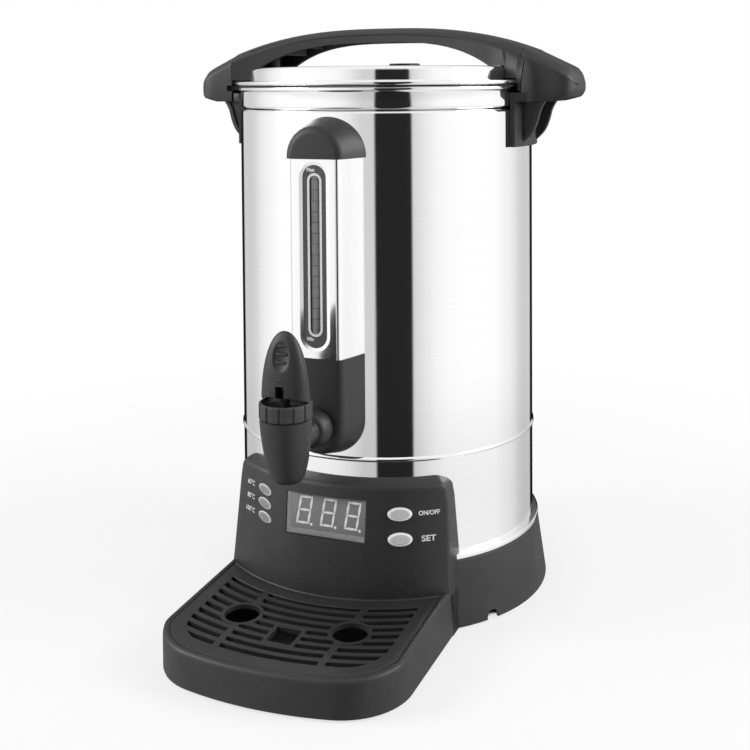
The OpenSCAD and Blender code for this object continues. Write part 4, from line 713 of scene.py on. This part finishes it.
placed(scoop, Matrix.Translation((0, TAP_Y - 8.6, LEVER_Z + 28.6)) @ Matrix.Rotation(math.radians(-11), 4, "X")
       @ Matrix.Diagonal((8.0, 4.4, 12.6, 1)))
lever = cut(lever, scoop)
ALONG_X = Matrix.Rotation(math.radians(90), 4, "Y")
grips = [rod(1.0, 7.4, Matrix.Translation((-3.7, TAP_Y - 4.3 + 0.19 * (z - 29), LEVER_Z + z)) @ ALONG_X, 0.5, 16)
         for z in (24.2, 29.2, 34.2)]
dimple = turned(rounded([(0, 0.1), (0.8, 0.1, 0.2), (1.2, 0.5, 0.2), (1.7, 0.1, 0.2), (1.7, -1.5)], 3), 32)
placed(dimple, Matrix.Translation((0, TAP_Y - 8.0, LEVER_Z + 12.8)) @ TO_FRONT)
piece("tap_lever_leaf", joined(lever, *grips, dimple), "lever", "black_plastic", black_plastic, "tap_lever", sharp=40)


# Lid: pressed stainless steel with a raised drum and a rolled flange, closed by a silicone ring. A small
# steam vent is clipped into it behind the handle.
lid = rounded([(0, 376), (100.8, 376, 3.4), (100.8, 366.2, 0.6), (112, 366.2, 1.5), (112, 363.2, 1.5), (96.8, 363.2),
               (96.8, 355.2), (96, 355.2), (96, 364), (100, 365.2), (100, 375.2, 2.6), (0, 375.2)])
piece("lid_pressing", turned(lid, 240), "lid", "polished_steel", round_steel, "lid")
vent = turned(rounded([(0, 379.5), (12, 379.5, 1.4), (12, 376.1, 0.3), (4.6, 376.1), (4.6, 371), (2.6, 371),
                       (2.6, 378.5), (0, 378.5)]), 72)
for k in range(6):
    port = block((-0.8, 8, 377), (0.8, 14, 378.3))
    vent = cut(vent, placed(port, Matrix.Rotation(math.radians(60 * k), 4, "Z")))
piece("steam_vent", placed(vent, Matrix.Translation((0, 40, 0))), "lid", "black_plastic", black_plastic, "vent_cap")


# Lid handle: an arched charcoal bar, hollow below with cross ribs, screwed to the lid from inside. Its
# ends widen to the depth of the side grips, hook over the flange and carry the locking lugs.
SEAM_X, SEAM_LEAN, BAR_LEAN = 113.3, math.tan(math.radians(9.9)), 0.28
BAR_TOP, BAR_END_X, BAR_END_R, END_FLARE = 405, 113.1, 115.8, 7.5
DRUM_R, FLANGE_R, STEP_DOWN = 101.3, 112.45, 9
UNDER = [(s, 394.2 - 18.2 * (s / 91) ** 3.2) for s in range(0, 91, 5)] + [(91, 376.2), (120, 376.2)]


def bar_top(x):
    return BAR_TOP - 16.6 * (abs(x) / SEAM_X) ** 2.7


def bar_loop(x):
    """The bar's channel section at a place; its end flares in front and steps down over drum and flange."""
    if x < 0:
        return [[(-a, -b, c) for a, b, c in reversed(line)] for line in bar_loop(-x)]
    share, spread = min(1, max(0, (x - 92) / 21)), (x / SEAM_X) ** 2
    lean = BAR_LEAN - (BAR_LEAN - SEAM_LEAN) * share
    half, flare = 13 + 11 * spread, END_FLARE * share ** 1.5
    top, drop, low = bar_top(x), 4.3 + 1.9 * spread, between(UNDER, x)

    def along(y):
        swell = share * min(1, max(0, -y - half) / 2)
        return x + lean * y + swell * (math.sqrt(BAR_END_R ** 2 - y * y) - BAR_END_X - SEAM_LEAN * y)

    def foot(y):
        reach = math.hypot(along(y), y)
        steps = 0 if reach < DRUM_R else 2 if reach > FLANGE_R and y < -half - 5 else 1
        return low - steps * STEP_DOWN

    sill, heel = foot(-half - flare), foot(half)
    front = [(-half - flare * (1 - u ** 3), sill + (top - drop - sill) * u) for u in (0, 0.3, 0.6, 0.8, 0.92)]
    back = [(half, heel + (top - drop - heel) * u) for u in (0.92, 0.8, 0.6, 0.3, 0)]
    over = rounded([front[-1], (-half, top - drop, 1.2), (-half + 7.5, top, 2.5), (half - 7.5, top, 2.5),
                    (half, top - drop, 1.2), back[0]], 3)
    inner = half - 2.6
    deep = [max(foot(side * inner) + 0.2, top - 2.8 if x < 99 else 0) for side in (1, -1)]
    under = [(inner, foot(inner)), (inner, deep[0] - 0.1), (inner - 1.5, deep[0]), (1.5 - inner, deep[1]),
             (-inner, deep[1] - 0.1), (-inner, foot(-inner))]
    return [[(along(y), y, z + (bar_top(along(y)) - top) * max(0, z - low) / (top - low)) for y, z in line]
            for line in (front[:-1] + over + back[1:], under)]


stations = [0, 10, 20, 30, 40, 50, 58, 65, 70, 75, 80, 84, 87, 89.5, 91, 94, 97, 98.9, 99.1, 100.4, 101.2, 102, 102.8,
            103.6, 104.4, 105.2, 106, 107.5, 109.3, 109.6, 111, BAR_END_X]
bar = loft([sum(bar_loop(x), []) for x in [-x for x in reversed(stations[1:])] + stations])
ribs = []
for x in range(-75, 76, 15):
    half = 9 + abs(x) * 0.05
    rib = block((-1, -half, between(UNDER, abs(x)) + 1.5), (1, half, bar_top(x) - 4))
    ribs.append(placed(rib, Matrix.Translation((x, 0, 0)) @ Matrix.Rotation(math.radians(-15.6), 4, "Z")))
posts = [rod(4.4, 16, Matrix.Translation((x, 0, 376.2)), 0.3, 32) for x in (-92.8, 92.8)]


def ring_part(r0, r1, z0, z1, a0, a1):
    """A rounded piece of a ring between two angles."""
    outline = rounded([(r0, z0, 0.5), (r1, z0, 0.5), (r1, z1, 0.5), (r0, z1, 0.5)], 2)
    turns = [math.radians(a0 + (a1 - a0) * k / 8) for k in range(9)]
    return loft([[(r * math.cos(a), r * math.sin(a), z) for r, z in outline] for a in turns])


hooks = []
for turn in (0, 180):
    hooks += [ring_part(101.3, 115.6, 366.7, 379.4, turn - 4, turn + 10),
              ring_part(112.5, 115.7, 359.5, 367.2, turn - 4, turn + 10),
              ring_part(114.8, 123.7, 359.6, 362.8, turn, turn + 9)]
piece("lid_bar", joined(bar, *ribs, *posts, *hooks), "lid", "black_plastic", black_plastic, "lid_handle", sharp=40)


# Side grips: charcoal mouldings screwed to the shell, each with a sloping block that carries on the line
# of the lid bar, a slot for its lug, and a bracket of two curved cheeks with a hollow for the fingers.
BEND_X, POCKET_R, STRIP_R = 142.5, 116.2, 108.15


def grip_top(x):
    return 388.4 - 14 * (x - SEAM_X) / 29.2 if x < BEND_X else 374.4 - (x - BEND_X)


def grip_block():
    """The sloping block: bevelled along its top, round at its end corners and flared at the shell."""
    loops = []
    for x in (113.5, 115, 117, 119, 121.5, 124, 127.5, 131.5, 135.5, 139, 142, BEND_X, 144.5, 146.3, 147.2, 147.5):
        half = 12 + math.sqrt(144 - max(0, x - 135.5) ** 2)
        top = grip_top(x)
        low = 351 + max(0, x - 131.5) / 4 if x < 143.5 else 354 + 1.25 * (x - 143.5)
        flare = END_FLARE * max(0, (127.5 - x) / 14) ** 2
        front = [(-half - flare * (1 - u ** 3), low + (top - 6.2 - low) * u) for u in (0.1, 0.4, 0.6, 0.8, 0.92)]
        outline = front[:-1] + rounded([front[-1], (-half, top - 6.2, 1.5), (8 - half, top, 2.5), (half - 8, top, 2.5),
                                        (half, top - 6.2, 1.5), (half, low, 1.5), (1.5 - half - flare, low)], 3)
        lean, line = max(0, (128 - x) / 14.5), []
        for y, z in outline:
            swell = min(1, max(0, -y - half) / 2) * max(0, (121.5 - x) / 8)
            along = x + SEAM_LEAN * y * lean + swell * (math.sqrt(POCKET_R ** 2 - y * y) - 113.5 - SEAM_LEAN * y)
            line.append((along, y, z + (grip_top(along) - top) * (z - low) / (top - low)))
        loops.append(line)
    return loft(loops)


CHEEK = [(126.4, 352.5), (125.2, 350.2), (123.4, 347.3), (122, 344.2), (121, 340.3), (120.1, 337), (118.8, 333.4),
         (117.2, 330.2), (115.3, 327.6), (113, 325.2), (110.6, 323), (108.4, 321.2)]


def cheek(side):
    """A cheek of the bracket: a thin web with a raised rib along its curved edge."""
    inner = [(x - 2.6, z + 1.2) for x, z in CHEEK]
    web = loft([[(x, side * y, z) for x, z in [*inner, (104, 321), (104, 352.5)]] for y in (15, 18.4)])
    rib = loft([[(x, side * y, z) for x, z in [*CHEEK, *reversed(inner)]] for y in (15, 19.6, 20.1)])
    return joined(web, rib)


def grip():
    """One grip, on the side of +X: block, inner ledge, mounting strip and two cheeks, fitted to the shell."""
    solid = cut(grip_block(), rod(POCKET_R, 23.5, Matrix.Translation((0, 0, 357.3)), 0, 180))
    solid = cut(solid, ring_part(110, 124.2, 359.1, 363.3, -2, 60))
    ledge = block((100, -31.2, 351), (116, 24, 357.3), 0.5, 2)
    ledge = cut(ledge, rod(STRIP_R, 80, Matrix.Translation((0, 0, 290)), 0, 180))
    return joined(solid, ledge, ring_part(STRIP_R, 112, 319.5, 357.2, -16.6, 16.6), cheek(-1), cheek(1))


piece("right_grip", grip(), "urn_body", "black_plastic", black_plastic, "side_handle_right", sharp=40)
left_grip = placed(grip(), Matrix.Rotation(math.pi, 4, "Z"))
piece("left_grip", left_grip, "urn_body", "black_plastic", black_plastic, "side_handle_left", sharp=40)


# Studio: a plain white floor, a white tent with a dark gap towards the camera that shows in the steel,
# two soft lamps and the camera.
def rays(tree):
    """Two fields of a tree: 1 for what the camera sees, and 1 for what is seen in or through a surface."""
    path = tree.nodes.new("ShaderNodeLightPath").outputs
    through = Field(tree, path["Is Transmission Ray"])
    return Field(tree, path["Is Camera Ray"]), Field(tree, path["Is Glossy Ray"]).math("MAXIMUM", through)


scene = bpy.context.scene
scene.view_settings.view_transform = "Standard"
floor_mesh = bmesh.new()
bmesh.ops.create_circle(floor_mesh, cap_ends=True, segments=96, radius=4)
floor_data = bpy.data.meshes.new("studio_floor")
floor_mesh.to_mesh(floor_data)
floor_mesh.free()
floor = bpy.data.objects.new("studio_floor", floor_data)
scene.collection.objects.link(floor)
WHITE, BLACK = (1, 1, 1, 1), (0, 0, 0, 1)
floor_white = bpy.data.materials.new("studio_white")
floor_white.use_nodes = True
tree = floor_white.node_tree
tree.nodes.clear()
is_camera, is_shine = rays(tree)
paper = is_camera.node("ShaderNodeBsdfDiffuse", None, {"Color": (0.86, 0.86, 0.86, 1)})
glow = is_camera.node("ShaderNodeEmission", None, {"Color": WHITE, "Strength": 1.0})
clear = is_camera.node("ShaderNodeBsdfTransparent")
spot = Field(tree, tree.nodes.new("ShaderNodeTexCoord").outputs["Object"])
away = spot.node("ShaderNodeVectorMath", {"operation": "LENGTH"}, {0: spot}, out=1).step(0.15, 0.75)
seen = is_camera.node("ShaderNodeMixShader", None, {0: is_camera * (0.72 + away * 0.28), 1: paper, 2: glow})
both = is_camera.node("ShaderNodeMixShader", None, {0: is_shine, 1: seen, 2: clear})
is_camera.node("ShaderNodeOutputMaterial", None, {"Surface": both})
floor_data.materials.append(floor_white)

VIEW_ANGLE, TENT_STRENGTH, ROOM_STRENGTH = 21.25, 1.03, 0.34
world = bpy.data.worlds.new("studio_tent")
scene.world = world
world.use_nodes = True
tree = world.node_tree
tree.nodes.clear()
is_camera, is_shine = rays(tree)
split = tree.nodes.new("ShaderNodeSeparateXYZ")
tree.links.new(tree.nodes.new("ShaderNodeTexCoord").outputs["Generated"], split.inputs[0])
east, north, up = (Field(tree, socket) for socket in split.outputs)
bearing = east.math("ARCTAN2", north * -1.0) * (180 / math.pi)
GAP_FROM, GAP_TO, GAP_SOFT = 12.2, 40.2, 1.2
gap = bearing.step(GAP_FROM - GAP_SOFT, GAP_FROM + GAP_SOFT) * (1 - bearing.step(GAP_TO - GAP_SOFT, GAP_TO + GAP_SOFT))
across = (bearing - VIEW_ANGLE).math("ABSOLUTE").math("PINGPONG", 180.0) * (1 / 180)
fall = [(0, 0.60), (19, 0.64), (29, 0.80), (37, 0.91), (46, 0.97), (60, 1.0), (90, 1.0), (98, 0.94), (110, 0.86),
        (117, 0.77), (124, 0.66), (134, 0.60), (150, 0.62), (153, 0.01), (180, 0.01)]
tent = across.node("ShaderNodeValToRGB", {"stops": [(a / 180, (v, v, v, 1)) for a, v in fall]}, {0: across})
overhead = up.step(0.25, 0.75)
low_wall = 1 - 0.14 * (up * -1.0).step(0.2, 0.34)
shine = tent * (1 - gap * 0.97) * low_wall * (1 - overhead) + overhead * 0.9
tent_light, room_light, backdrop = (
    is_camera.node("ShaderNodeBackground", None, {"Color": colour, "Strength": strength})
    for colour, strength in ((shine.tint(BLACK, WHITE), TENT_STRENGTH), (WHITE, ROOM_STRENGTH), (WHITE, 1.0)))
lit = is_camera.node("ShaderNodeMixShader", None, {0: is_shine, 1: room_light, 2: tent_light})
around = is_camera.node("ShaderNodeMixShader", None, {0: is_camera, 1: lit, 2: backdrop})
is_camera.node("ShaderNodeOutputWorld", None, {"Surface": around})

LAMP_AIM, LAMP_SIZE, LAMP_WATTS = Vector((0, 0, 0.2)), 1.1, 26
for name, place in (("left_softbox", Vector((-1.5, -0.85, 1.0))), ("right_softbox", Vector((1.65, 0.25, 0.95)))):
    lamp = bpy.data.lights.new(name, "AREA")
    lamp.shape, lamp.size, lamp.energy = "DISK", LAMP_SIZE, LAMP_WATTS
    holder = bpy.data.objects.new(name, lamp)
    holder.location = place
    holder.rotation_euler = (LAMP_AIM - place).to_track_quat("-Z", "Y").to_euler()
    scene.collection.objects.link(holder)

PIXELS, FOCAL_PIXELS, MIDDLE_X, MIDDLE_Y, SENSOR = 750, 1156.14, 386.26, 126.03, 36.0
lens = bpy.data.cameras.new("camera")
lens.sensor_width, lens.lens = SENSOR, FOCAL_PIXELS * SENSOR / PIXELS
lens.shift_x, lens.shift_y = (PIXELS / 2 - MIDDLE_X) / PIXELS, -(PIXELS / 2 - MIDDLE_Y) / PIXELS
turn, dip, roll = math.radians(VIEW_ANGLE), 0.0375, 0.0068
ahead = Vector((-math.sin(turn) * math.cos(dip), math.cos(turn) * math.cos(dip), -math.sin(dip)))
right = Vector((math.cos(turn), math.sin(turn), 0))
above = right.cross(ahead)
x_axis, y_axis = right * math.cos(roll) - above * math.sin(roll), right * math.sin(roll) + above * math.cos(roll)
camera = bpy.data.objects.new("camera", lens)
camera.matrix_world = (Matrix.Translation((0.3135, AXIS_Y - 0.8064, 0.3647))
                       @ Matrix((x_axis, y_axis, -ahead)).transposed().to_4x4())
scene.collection.objects.link(camera)
scene.camera = camera
